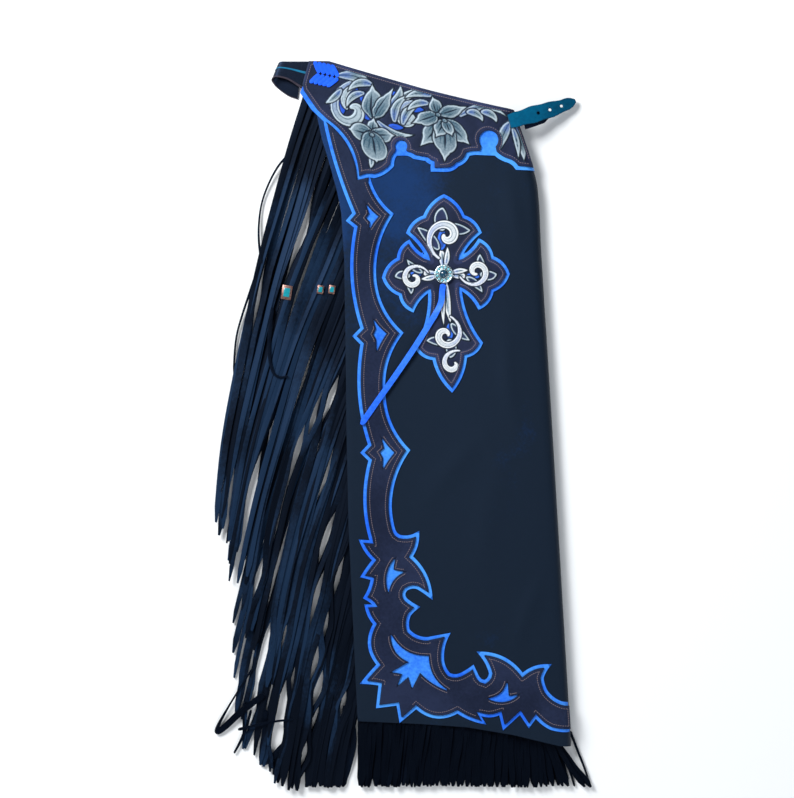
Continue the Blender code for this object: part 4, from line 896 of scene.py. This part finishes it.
def sew(name, rings, inset, height, pitch=3.1, size=(1.35, 0.55, 0.42), cover=None):
    """A row of stitches inside each flat ring, at a height over the stack, none of them under a cover."""
    here, ahead = [], []
    for ring in rings:
        spots, runs = resample(offset(ring, -inset, 1.25), pitch)
        clear = ring_distance(spots, ring) > 0.86 * abs(inset)
        if cover is not None:
            clear &= ~inside_ring(spots, cover) & (ring_distance(spots, cover) > 5.0)
        around = [np.roll(clear, shift) for shift in (2, 1, -1, -2)]
        clear &= (around[1] & around[2]) | (around[0] & around[1]) | (around[2] & around[3])
        spots, runs = spots[clear], runs[clear]
        here.append(lay(spots[:, 0], spots[:, 1], height))
        ahead.append(lay(spots[:, 0] + runs[:, 0], spots[:, 1] + runs[:, 1], height))
    here = np.concatenate(here)
    forward = np.concatenate(ahead) - here
    forward /= np.linalg.norm(forward, axis=1)[:, None]
    beside = np.cross((0.0, 0.0, 1.0), forward)
    beside /= np.linalg.norm(beside, axis=1)[:, None]
    up = np.cross(forward, beside)
    pattern = bmesh.new()
    bmesh.ops.create_uvsphere(pattern, u_segments=6, v_segments=4, radius=MM,
                              matrix=Matrix.Diagonal((*size, 1.0)))
    form, base, number = copies(pattern, len(here))
    spots = here[number] + (base[:, :1] * forward[number] + base[:, 1:2] * beside[number]
                            + base[:, 2:] * up[number])
    for vert, co in zip(form.verts, spots.tolist()):
        vert.co = co
    return new_piece(name, form, thread)


sewn = [sew("border_stitching", [border_cut], 4.4, OVERLAY_BASE + OVERLAY_WALL + 0.15,
            cover=to_flat(trimmed)),
        sew("inlay_stitching", inlay_cuts, -3.0, OVERLAY_BASE + OVERLAY_WALL + 0.15, 2.6),
        sew("yoke_stitching", [yoke_cut], 4.6, OVERLAY_BASE + YOKE_WALL + 0.15),
        sew("cross_stitching", [cross_cut], 4.0, OVERLAY_BASE + OVERLAY_WALL + 0.15, 2.8)]

# %% [markdown]
# ## Fringe
#
# Fringe is cut from a strip of soft leather that is sewn in at the edge, so each strand is a flat
# ribbon that stays joined at its root. The strands shingle over one another, swing together and
# part in places. Each starts as one long grid. All are then bent at once: along a bowed line from
# root to tip, pushed aside round each parting, gathered in locks and tilted a little.

# %% Fringe
# Strand rows: place along the root line from 0 to 1, tip x, tip y, bow away from the panel
SIDE_UPPER = [(0.0, -264, -144, 17), (0.12, -248, -190, 15), (0.25, -228, -236, 13),
              (0.38, -203, -318, 12), (0.50, -186, -402, 11), (0.62, -166, -500, 9),
              (0.78, -128, -506, 6), (1.0, -84, -507, 2)]
SIDE_LOWER = [(0.0, -226, 6, 12), (0.15, -214, -80, 12), (0.30, -224, -215, 14),
              (0.42, -244, -420, 16), (0.55, -208, -462, 12), (0.68, -162, -502, 8),
              (0.82, -124, -505, 4), (1.0, -82, -506, 2)]
HEM_UPPER = [(0.0, -60, -506, 0), (0.3, 17, -506, 0), (0.6, 105, -505, 0), (0.85, 186, -506, 0),
             (0.94, 228, -504, 0), (1.0, 277, -506, 0)]
HEM_LOWER = [(0.0, -57, -505, 0), (0.5, 82, -504, 0), (0.9, 205, -503, 0), (1.0, 238, -504, 0)]
# Partings: x, y, half width, half length
PARTINGS = [(-136, 268, 6.5, 36), (-197, 176, 3.5, 26), (-97, 38, 6, 50), (-121, 10, 4.5, 34),
            (-142, -28, 4, 38), (-206, -84, 6, 66), (-236, -92, 4, 34), (-105, -77, 3.5, 28),
            (-104, -157, 5, 38), (-116, -237, 4.5, 40), (-87, -210, 4.5, 28), (-197, -210, 4.5, 32),
            (-104, -280, 4, 24), (-118, -334, 6, 30), (-114, -366, 6, 30), (-186, -300, 4.5, 30),
            (-195, -338, 4.5, 30), (-161, -294, 3, 18), (-152, -360, 4.5, 28), (-164, -386, 6, 30),
            (-207, -400, 6, 26), (-172, -438, 9, 26), (-80, -390, 5, 24), (-118, -408, 4, 22),
            (-134, -461, 4.5, 20), (-136, -496, 4, 18), (-46, -447, 4, 22)]


def strand_ribbons(name, line, rows, count, height, material, nodes=(), seed=1, segments=28, width=8.6,
                   wall=1.1, partings=(), sway=1.3, scatter=5.0, ceiling=12.5, clump=0.4, short=0.11,
                   tuck=16.0):
    """A row of flat strands from a root line to the tips of a table."""
    chance = np.random.default_rng(seed)
    pattern = bmesh.new()
    bmesh.ops.create_grid(pattern, x_segments=2, y_segments=segments, size=1.0)
    grown = bmesh.ops.extrude_face_region(pattern, geom=pattern.faces[:], use_keep_orig=True)
    for item in grown["geom"]:
        if isinstance(item, bmesh.types.BMVert):
            item.co.z = 1.0
    form, raw, which = copies(pattern, count)
    tone = form.verts.layers.float.new("tone")
    across, part, upper = raw[:, 0], 0.5 * (raw[:, 1] + 1.0), raw[:, 2]
    place = (np.arange(count) + 0.5 + chance.uniform(-0.35, 0.35, count)) / count
    line = np.array(line, float)
    lengths = np.concatenate([[0.0], np.cumsum(np.hypot(*np.diff(line, axis=0).T))])
    root = np.stack([np.interp(place * lengths[-1], lengths, column) for column in line.T], -1)
    tips = np.stack([table_value(rows, place, column) for column in (1, 2, 3)], -1)
    lock = np.cumsum(chance.random(count) < 0.28)
    for index in np.unique(lock):
        mine = lock == index
        tips[mine, 0] += clump * (tips[mine, 0].mean() - tips[mine, 0])
    cut = 1.0 - chance.uniform(0.0, short, count) * np.where(place < 0.55, 1.0, 0.12)
    tip = root + (tips[:, :2] - root) * cut[:, None]
    tip[:, 0] += chance.normal(0.0, scatter, count)
    run = tip - root
    length = np.hypot(*run.T)
    head = run / length[:, None]
    start = root - head * tuck
    u, far = part, length[which]
    turns, phase = chance.uniform(0.6, 1.6, count)[which], chance.uniform(0.0, math.tau, count)[which]
    lift = 4.0 * (tips[:, 2] * chance.uniform(0.6, 1.4, count))[which] * u * (1.0 - u)
    x = start[which, 0] + (tip - start)[which, 0] * u + head[which, 1] * lift
    y = start[which, 1] + (tip - start)[which, 1] * u - head[which, 0] * lift
    fade = smooth(u * far / 70.0)
    shared = np.sin(y / 47.0 + x / 31.0) + 0.6 * np.sin(y / 23.0 - x / 19.0)
    x += sway * fade * (0.9 * np.sin(math.tau * turns * u + phase) + 0.5 * shared)
    for gap_x, gap_y, half_width, half_length in partings:
        along = ((x - gap_x) * head[which, 0] + (y - gap_y) * head[which, 1]).reshape(count, -1)
        closest = np.abs(along).argmin(1)
        beside = ((x - gap_x) * head[which, 1] - (y - gap_y) * head[which, 0]).reshape(count, -1)
        off = -beside[np.arange(count), closest] * np.where(np.abs(along).min(1) < 30.0, 1.0, 99.0)
        push = np.maximum(half_width + 0.42 * width - np.abs(off), 0.0) * np.where(off < 0.0, -1.0, 1.0)
        x += (push[:, None] * np.exp(-(along / half_length) ** 2)).ravel() * fade
    tilt = chance.normal(0.16, 0.2, count)[which] + 0.22 * np.sin(5.0 * turns * u + phase)
    pointed = np.interp(u, [0.0, 1.0 - 1.0 / segments - 0.001, 1.0], [1.0, 1.0, 0.35])
    broad = chance.uniform(0.72, 1.15, count)[which]
    half = 0.5 * width * broad * pointed * (1.0 + 0.1 * np.sin(9.0 * u + phase))
    deep = (upper - 0.5) * wall + 0.45 * (1.0 - across ** 2)
    aside = half * across * np.cos(tilt) - deep * np.sin(tilt)
    side_x, side_y = -head[which, 1], head[which, 0]
    level = chance.uniform(0.0, 2.6, count)[which]
    z = height + level + half * across * np.sin(tilt) + deep * np.cos(tilt) + 0.5 * np.sin(6.0 * u + phase)
    z = np.clip(z, 0.4 + 0.6 * upper, ceiling - 0.6 * (1.0 - upper))
    spots = np.stack([x + side_x * aside, y + side_y * aside, z], -1) * MM
    shade = chance.normal(0.0, 0.16, count)[which] + 0.14 * np.sin(4.0 * u + phase) + 0.1 * shared
    # Painted shade: strands darken at their roots under the panel's edge and along the top of the row
    shade = shade - 0.4 * np.exp(-(u * far / 75.0) ** 2) - 0.3 * smooth((y - 270.0) / 130.0)
    # Darker towards the bottom of the row, less so at its far left
    shade = shade - 0.28 * smooth((-300.0 - y) / 170.0) * smooth((x + 240.0) / 110.0)
    for vert, co, value in zip(form.verts, spots.tolist(), shade.tolist()):
        vert.co = co
        vert[tone] = value
    bmesh.ops.recalc_face_normals(form, faces=form.faces)
    return new_piece(name, form, material, nodes, 60.0)


hem_line = [(x + 2.0 if index == 0 else x, y + 1.0) for index, (x, y) in enumerate(HEM)]
side_upper = strand_ribbons("side_fringe_upper_strands", BACK_EDGE, SIDE_UPPER, 62, 7.2, fringe_leather,
                            ["side_fringe_upper"], seed=3, partings=PARTINGS)
side_lower = strand_ribbons("side_fringe_lower_strands", BACK_EDGE, SIDE_LOWER, 52, 2.4, fringe_leather,
                            ["side_fringe_lower"], seed=5, partings=PARTINGS, ceiling=6.5)
hem_upper = strand_ribbons("hem_fringe_upper_strands", hem_line, HEM_UPPER, 58, 7.0, hem_leather,
                           ["hem_fringe_upper"], seed=7, segments=8, scatter=1.6, sway=0.8, short=0.03,
                           clump=0.1, tuck=6.0)
hem_lower = strand_ribbons("hem_fringe_lower_strands", hem_line, HEM_LOWER, 48, 2.6, hem_leather,
                           ["hem_fringe_lower"], seed=9, segments=8, scatter=1.2, sway=0.8, ceiling=6.5,
                           short=0.02, clump=0.1, tuck=6.0)

# %% [markdown]
# ## Flat laces
#
# A few strands have slipped out of the row, and a blue thong hangs from the concho. Each is a flat
# lace that follows its own line, so one function bends a grid along a table of points.

# %% Flat laces


def curve_points(points, count):
    """Evenly counted points on a smooth line through a table."""
    table = np.array([(index, *row) for index, row in enumerate(points)], float)
    at = np.linspace(0.0, len(points) - 1.0, count)
    return np.stack([table_value(table, at, column) for column in range(1, table.shape[1])], -1)


def lace(form, spine, width, wall, tip=1.0, twist=None):
    """Adds a flat lace along points in millimetres; twist turns it about its line, in degrees."""
    count = len(spine)
    width = np.broadcast_to(width, count)
    before = set(form.verts)
    bmesh.ops.create_grid(form, x_segments=4, y_segments=count - 1, size=1.0)
    fresh = [vert for vert in form.verts if vert not in before]
    faces = list({face for vert in fresh for face in vert.link_faces})
    grown = bmesh.ops.extrude_face_region(form, geom=faces, use_keep_orig=True)
    tops = [item for item in grown["geom"] if isinstance(item, bmesh.types.BMVert)]
    ahead = np.gradient(spine, axis=0)
    for verts, side in ((fresh, -0.5), (tops, 0.5)):
        for vert in verts:
            index = min(round((vert.co.y + 1.0) * 0.5 * (count - 1)), count - 1)
            forward = Vector(ahead[index]).normalized()
            across = forward.cross(Vector((0.0, 0.0, 1.0))).normalized()
            if twist is not None:
                across.rotate(Matrix.Rotation(math.radians(twist[index]), 3, forward))
            normal = across.cross(forward)
            narrow = tip if index in (0, count - 1) else 1.0
            reach = 0.5 * width[index] * vert.co.x * narrow
            edge_drop = wall * (0.5 - 0.16 * abs(vert.co.x) ** 3)
            vert.co = (Vector(spine[index]) + across * reach + normal * 2.0 * side * edge_drop) * MM


# Loose strands: x, y, z and width at their points
LOOSE = [[(-156, 378, 9, 3), (-171, 360, 7, 3), (-184, 336, 5, 2.8), (-193, 311, 4, 2.6), (-197, 284, 5, 2.8),
          (-197, 256, 8, 3.2), (-193, 226, 10, 4)],
         [(-197, 222, 10, 4), (-208, 190, 8, 3.6), (-221, 152, 5, 3), (-229, 121, 4, 2.8), (-232, 84, 4, 3),
          (-231, 58, 6, 4), (-236, 20, 8, 5), (-246, -30, 8, 5)],
         [(-178, 164, 12, 5), (-182, 128, 12.4, 5), (-182, 96, 12.4, 4.4), (-177, 74, 12.4, 4), (-168, 67, 12.4, 3),
          (-156, 68, 12, 3)],
         [(-206, -340, 7, 3), (-224, -368, 6, 2.4), (-241, -396, 5, 3), (-254, -420, 4, 5), (-255, -429, 4, 7),
          (-244, -421, 5, 9), (-226, -404, 6, 9.5), (-206, -388, 8, 9), (-190, -376, 8, 8)],
         [(-226, -425, 9, 4.5), (-198, -418, 10.5, 3.6), (-172, -413, 11, 3.2), (-150, -411, 11, 3)],
         [(-188, -398, 6, 7), (-190, -430, 5, 6.5), (-194, -456, 4, 6), (-193, -472, 3.4, 6), (-182, -468, 4, 8),
          (-166, -452, 5, 10), (-150, -436, 6, 10), (-140, -424, 7, 9)],
         [(-216, -386, 6, 3), (-219, -400, 5, 3), (-218, -424, 4, 3.4), (-217, -446, 4, 3)],
         [(-208, -398, 7, 4), (-214, -420, 6, 4), (-222, -440, 5, 4), (-232, -459, 4, 3)],
         [(-70, -388, 5, 7), (-66, -420, 5, 8), (-65, -448, 5, 8), (-72, -478, 4, 8), (-80, -505, 3, 6)],
         [(-78, -392, 6, 6), (-75, -430, 6, 8), (-74, -462, 5, 8), (-82, -486, 4, 8), (-90, -505, 3, 6)],
         [(238, -428, 4, 4), (247, -452, 4, 3.4), (258, -480, 4, 3), (266, -505, 4, 2.6)],
         [(222, -446, 4, 4), (230, -466, 4, 4), (238, -486, 4, 3.4), (244, -505, 4, 3)]]
form = bmesh.new()
for rows in LOOSE:
    points = curve_points(rows, 8 * len(rows))
    lace(form, points[:, :3], points[:, 3], 1.1, 0.5)
bmesh.ops.recalc_face_normals(form, faces=form.faces)
loose = new_piece("loose_strands", form, hem_leather, smooth_angle=60.0)

# Thong: x, y and height of its middle over the hidden stack
TIE = [(60, 196, 8.6), (58.5, 186, 8.4), (57, 171, 8.2), (50, 156, 8.3), (42, 143, 8.2), (22, 111, 8.0),
       (6, 87, 7.3), (-12, 61, 7.1), (-34, 30, 7.1), (-54, 1, 7.1)]
thong = curve_points(TIE, 64)
places = lay(*to_flat(thong).T, thong[:, 2]) / MM
turns = 26.0 * np.exp(-((np.linspace(0.0, 9.0, 64) - 2.6) / 0.6) ** 2)
form = bmesh.new()
lace(form, places, 8.2, 1.5, 0.4, turns)
bmesh.ops.recalc_face_normals(form, faces=form.faces)
tie = new_piece("concho_thong", form, lace_leather, ["concho_tie"])

# %% [markdown]
# ## Metals and stones
#
# The round concho is a stamped, silver-plated disc. Its face is spun from a profile; a ring of
# small beads is struck round it, faceted crystals sit in the channel and a dark blue stone in the
# middle. Plated silver is a metal with a fine satin, with a little tarnish in small patches.

# %% Metals and stones


def plated(name, bright, dull, roughness):
    """Plated metal, dulled in small patches."""
    material, tree, shader = new_material(name, {"Metallic": 1.0})
    patch = node(tree, "TexNoise", {"Vector": node(tree, "TexCoord", {}, "Object"), "Scale": 500.0,
                                    "Detail": 3.0})
    share = node(tree, "MapRange", {**SMOOTH, 0: patch, 1: 0.4, 2: 0.7})
    colour = node(tree, "Mix", {**COLOURS, 0: share, 6: bright, 7: dull}, 2)
    tree.links.new(colour, shader.inputs["Base Color"])
    gloss = node(tree, "MapRange", {0: patch, 3: roughness, 4: roughness + 0.15})
    tree.links.new(gloss, shader.inputs["Roughness"])
    bump = node(tree, "Bump", {"Strength": 0.3, "Distance": 0.05 * MM, "Height": patch})
    tree.links.new(bump, shader.inputs["Normal"])
    return material


def stone(name, first, second, roughness=0.08):
    """Glassy stone with a slow change of colour inside."""
    material, tree, shader = new_material(name, {"Roughness": roughness, "IOR": 1.54,
                                                 "Coat Weight": 0.6, "Coat Roughness": 0.03})
    cloud = node(tree, "TexNoise", {"Vector": node(tree, "TexCoord", {}, "Object"), "Scale": 300.0})
    colour = node(tree, "Mix", {**COLOURS, 0: cloud, 6: first, 7: second}, 2)
    tree.links.new(colour, shader.inputs["Base Color"])
    return material


# Struck, plated and tumbled: a satin silver that greys in small patches.
silver = plated("satin_silver_plate", "#D6E2E6", "#7F979E", 0.25)
# Brushed and left bare: a warm pinkish metal beside the blue.
copper = plated("brushed_copper", "#A07A70", "#5E4340", 0.35)
# Pressed glass with ground facets: small cold sparkles.
crystal = stone("cut_aqua_crystal", "#8FD6E2", "#5FB4C6")
# Glass melted to a dome: one deep, dark highlight.
sapphire = stone("dark_blue_glass_cabochon", "#0A2A44", "#1B5068")
# Enamel floated into the frame: an even teal with a soft gloss.
turquoise = stone("teal_enamel", "#0898A8", "#06747F", 0.2)

CONCHO_SEAT = 6.4
seat_x, seat_y = to_flat([CROSS_CENTRE])[0]
here = lay(seat_x, seat_y, CONCHO_SEAT)
east = lay(seat_x + 8.0, seat_y, CONCHO_SEAT) - lay(seat_x - 8.0, seat_y, CONCHO_SEAT)
north = lay(seat_x, seat_y + 8.0, CONCHO_SEAT) - lay(seat_x, seat_y - 8.0, CONCHO_SEAT)
up = Vector(east).cross(Vector(north)).normalized()
seat = Matrix.Translation(here) @ Vector((0.0, 0.0, 1.0)).rotation_difference(up).to_matrix().to_4x4()
seat = seat @ Matrix.Diagonal((MM, MM, MM, 1.0))

PROFILE = [(0.0, 0.0), (12.6, 0.0), (13.3, 0.6), (13.4, 2.4), (12.9, 3.3), (12.0, 3.5), (11.3, 3.1),
           (10.6, 2.7), (8.2, 2.6), (7.3, 3.1), (6.6, 4.0), (6.0, 4.1), (5.3, 3.6), (5.0, 3.0), (0.0, 3.0)]
form = bmesh.new()
verts = [form.verts.new((x, 0.0, z)) for x, z in PROFILE]
edges = [form.edges.new(pair) for pair in zip(verts, verts[1:])]
bmesh.ops.spin(form, geom=verts + edges, axis=(0, 0, 1), cent=(0, 0, 0), steps=48, angle=math.tau,
               use_merge=True)
bmesh.ops.remove_doubles(form, verts=form.verts, dist=0.001)
for index in range(32):
    turn = math.tau * index / 32
    spot = Matrix.Translation((12.0 * math.cos(turn), 12.0 * math.sin(turn), 3.5))
    bmesh.ops.create_uvsphere(form, u_segments=8, v_segments=6, radius=0.85, matrix=spot)
bmesh.ops.recalc_face_normals(form, faces=form.faces)
bmesh.ops.transform(form, matrix=seat, verts=form.verts)
concho = new_piece("concho_face", form, silver, ["concho"], 35.0)

form = bmesh.new()
for index in range(12):
    turn = math.tau * (index + 0.5) / 12
    spot = Matrix.Translation((9.4 * math.cos(turn), 9.4 * math.sin(turn), 3.3))
    spot = spot @ Matrix.Rotation(turn, 4, "Z") @ Matrix.Diagonal((1.0, 1.15, 0.75, 1.0))
    bmesh.ops.create_icosphere(form, subdivisions=1, radius=1.5, matrix=spot)
bmesh.ops.transform(form, matrix=seat, verts=form.verts)
crystals = new_piece("concho_crystals", form, crystal, smooth_angle=5.0)
form = bmesh.new()
spot = Matrix.Translation((0.0, 0.0, 3.2)) @ Matrix.Diagonal((1.0, 1.0, 0.55, 1.0))
bmesh.ops.create_uvsphere(form, u_segments=24, v_segments=12, radius=5.0, matrix=spot)
bmesh.ops.transform(form, matrix=seat, verts=form.verts)
cabochon = new_piece("concho_stone", form, sapphire)

# Square conchos: x, y, width, length; each frame takes the place of its numbered node
FRINGE_CONCHOS = [(-158, 185, 14, 20), (-111, 189, 9, 12), (-95, 189, 9, 12)]
for number, (x, y, width, length) in enumerate(FRINGE_CONCHOS, 1):
    spot = Matrix.Translation((x * MM, y * MM, 10.9 * MM)) @ Matrix.Rotation(math.radians(-9.0), 4, "Z")
    for part, finish, grow, tall, rise, nodes in (("frame", copper, 1.0, 2.0, 0.0, [f"fringe_concho_{number}"]),
                                                  ("inset", turquoise, 0.62, 1.0, 1.3, [])):
        form = bmesh.new()
        bmesh.ops.create_cube(form, size=1.0, matrix=Matrix.Diagonal((width * grow, length * grow, tall, 1)))
        bmesh.ops.bevel(form, geom=form.edges[:], offset=0.4, segments=2, profile=0.5, affect="EDGES",
                        material=-1)
        bmesh.ops.translate(form, vec=(0.0, 0.0, rise), verts=form.verts)
        bmesh.ops.transform(form, matrix=spot @ Matrix.Diagonal((MM, MM, MM, 1.0)), verts=form.verts)
        new_piece(f"fringe_concho_{part}_{number}", form, finish, nodes, 30.0)

# %% [markdown]
# ## Belt and lacing
#
# The belt band leaves the yoke, folds under itself and comes back. It is a loft between the rows of
# a table, so a grid is bent through them and given a wall. A cyan lace runs along it, and a rolled
# piping closes its lower edge. The lacing on the yoke is a feather of flat bright blue strokes.

# %% Belt and lacing
BELT = [(-124, 507, -124, 463, 11.5), (-138, 507, -140, 472, 11.5), (-154, 507, -156, 482, 11.5),
        (-165, 507, -171, 486, 11.3), (-168, 506, -176, 485, 9.4), (-169, 505, -178, 482, 6.6),
        (-168, 504, -176, 478, 3.8), (-164, 503, -171, 472, 1.9), (-152, 502, -157, 462, 1.7),
        (-138, 501, -143, 457, 1.7)]
belt_rows = curve_points(BELT, 60)


def belt_strip(form, across, lift, wall):
    """Adds a band of the belt between two shares of its width, lifted off its middle."""
    before = set(form.verts)
    bmesh.ops.create_grid(form, x_segments=8, y_segments=len(belt_rows) - 1, size=1.0)
    fresh = [vert for vert in form.verts if vert not in before]
    faces = list({face for vert in fresh for face in vert.link_faces})
    grown = bmesh.ops.extrude_face_region(form, geom=faces, use_keep_orig=True)
    tops = [item for item in grown["geom"] if isinstance(item, bmesh.types.BMVert)]
    ahead = np.gradient(belt_rows, axis=0)
    for verts, side in ((fresh, -0.5), (tops, 0.5)):
        for vert in verts:
            index = min(round((vert.co.y + 1.0) * 0.5 * (len(belt_rows) - 1)), len(belt_rows) - 1)
            top_x, top_y, low_x, low_y, z = belt_rows[index]
            share = across[0] + (across[1] - across[0]) * 0.5 * (vert.co.x + 1.0)
            run_x, run_z = ahead[index, 0] + ahead[index, 2], 2.0 * ahead[index, 4]
            normal = Vector((run_z, 0.0, -run_x)).normalized()
            middle = Vector((top_x + (low_x - top_x) * share, top_y + (low_y - top_y) * share, z))
            rounded = 1.0 - 0.25 * abs(vert.co.x) ** 4
            vert.co = (middle + normal * (lift + side * wall * rounded)) * MM


form = bmesh.new()
belt_strip(form, (0.0, 1.0), 0.0, 2.4)
bmesh.ops.recalc_face_normals(form, faces=form.faces)
belt = new_piece("belt_band", form, belt_leather, ["belt"])
form = bmesh.new()
belt_strip(form, (0.36, 0.44), 1.3, 0.7)
bmesh.ops.recalc_face_normals(form, faces=form.faces)
belt_lace = new_piece("belt_lace", form, cyan_leather)
form = bmesh.new()
belt_strip(form, (0.93, 1.03), 0.55, 2.1)
bmesh.ops.recalc_face_normals(form, faces=form.faces)
piping = new_piece("belt_piping", form, piping_leather)

form = bmesh.new()
LACING_CENTRE, LACING_TURN = (-101.0, 487.0), -12.0
for side in (1.0, -1.0):
    for index in range(5):
        foot = (15.0 - 6.6 * index, 0.8 * side)
        end = (foot[0] - 12.5 + 0.6 * index, 15.5 * side)
        rows = [foot, (foot[0] - 4.8, 7.0 * side), end]
        spots = np.array(turned(rows, *LACING_CENTRE, LACING_TURN))
        flat = to_flat(curve_points(spots, 10))
        rise = OVERLAY_BASE + YOKE_WALL + 0.9 + 0.45 * (side > 0.0)
        lace(form, lay(*flat.T, rise) / MM, 5.7, 1.2, 0.35)
bmesh.ops.recalc_face_normals(form, faces=form.faces)
lacing = new_piece("belt_lacing_strokes", form, lace_leather, ["belt_lacing"])

# %% [markdown]
# ## Billet
#
# The billet is a short strap end with three punched holes and a point, dyed teal. Its edge is a
# little wavy, as soft leather cut by hand is.

# %% Billet
# Centre line: x, y, z of its underside, half width
BILLET = [(151, 421, 29.2, 9.5), (165, 425, 28.5, 10.5), (180, 430, 24.7, 11.5),
          (196, 435, 19.9, 11.5), (212, 440, 15.1, 10.5), (226, 445, 11.1, 9.0),
          (238, 450, 8.1, 7.0), (245, 453, 6.7, 2.4)]
BILLET_WALL = 2.8
BILLET_HOLES = [44.0, 62.0, 80.0]
spine = np.array(BILLET, float)
lengths = np.concatenate([[0.0], np.cumsum(np.sqrt((np.diff(spine[:, :3], axis=0) ** 2).sum(1)))])
at = np.linspace(0.0, lengths[-1], 48)
half = table_value(np.stack([lengths, spine[:, 3]], -1), at)
wavy = half + 0.5 * np.sin(at / 4.6) * smooth((lengths[-1] - at) / 20.0)
outline = np.concatenate([np.stack([at, wavy], -1), np.stack([at, -wavy - 0.2 * np.sin(at)], -1)[::-1]])
rings = [outline] + [np.array([(hole + 2.2 * math.cos(a), 2.2 * math.sin(a))
                               for a in np.linspace(0.0, math.tau, 20, endpoint=False)])
                     for hole in BILLET_HOLES]


def lay_billet(along, across, height):
    """Points of the strap in metres, from its own length, width and thickness."""
    x, y, z = (np.interp(along, lengths, spine[:, k]) for k in range(3))
    run = np.stack([np.interp(along, lengths, np.gradient(spine[:, k], lengths)) for k in (0, 1)], -1)
    run /= np.hypot(*run.T)[:, None]
    return np.stack([x - run[:, 1] * across, y + run[:, 0] * across, z + height], -1) * MM


billet = cut_leather("billet_strap", rings, 1.2, 0.0, BILLET_WALL, billet_leather,
                     ["billet"], place_on=lay_billet)
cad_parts["under_strap"].data.materials[0] = belt_leather
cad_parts["under_layers"].data.materials[0] = black_leather
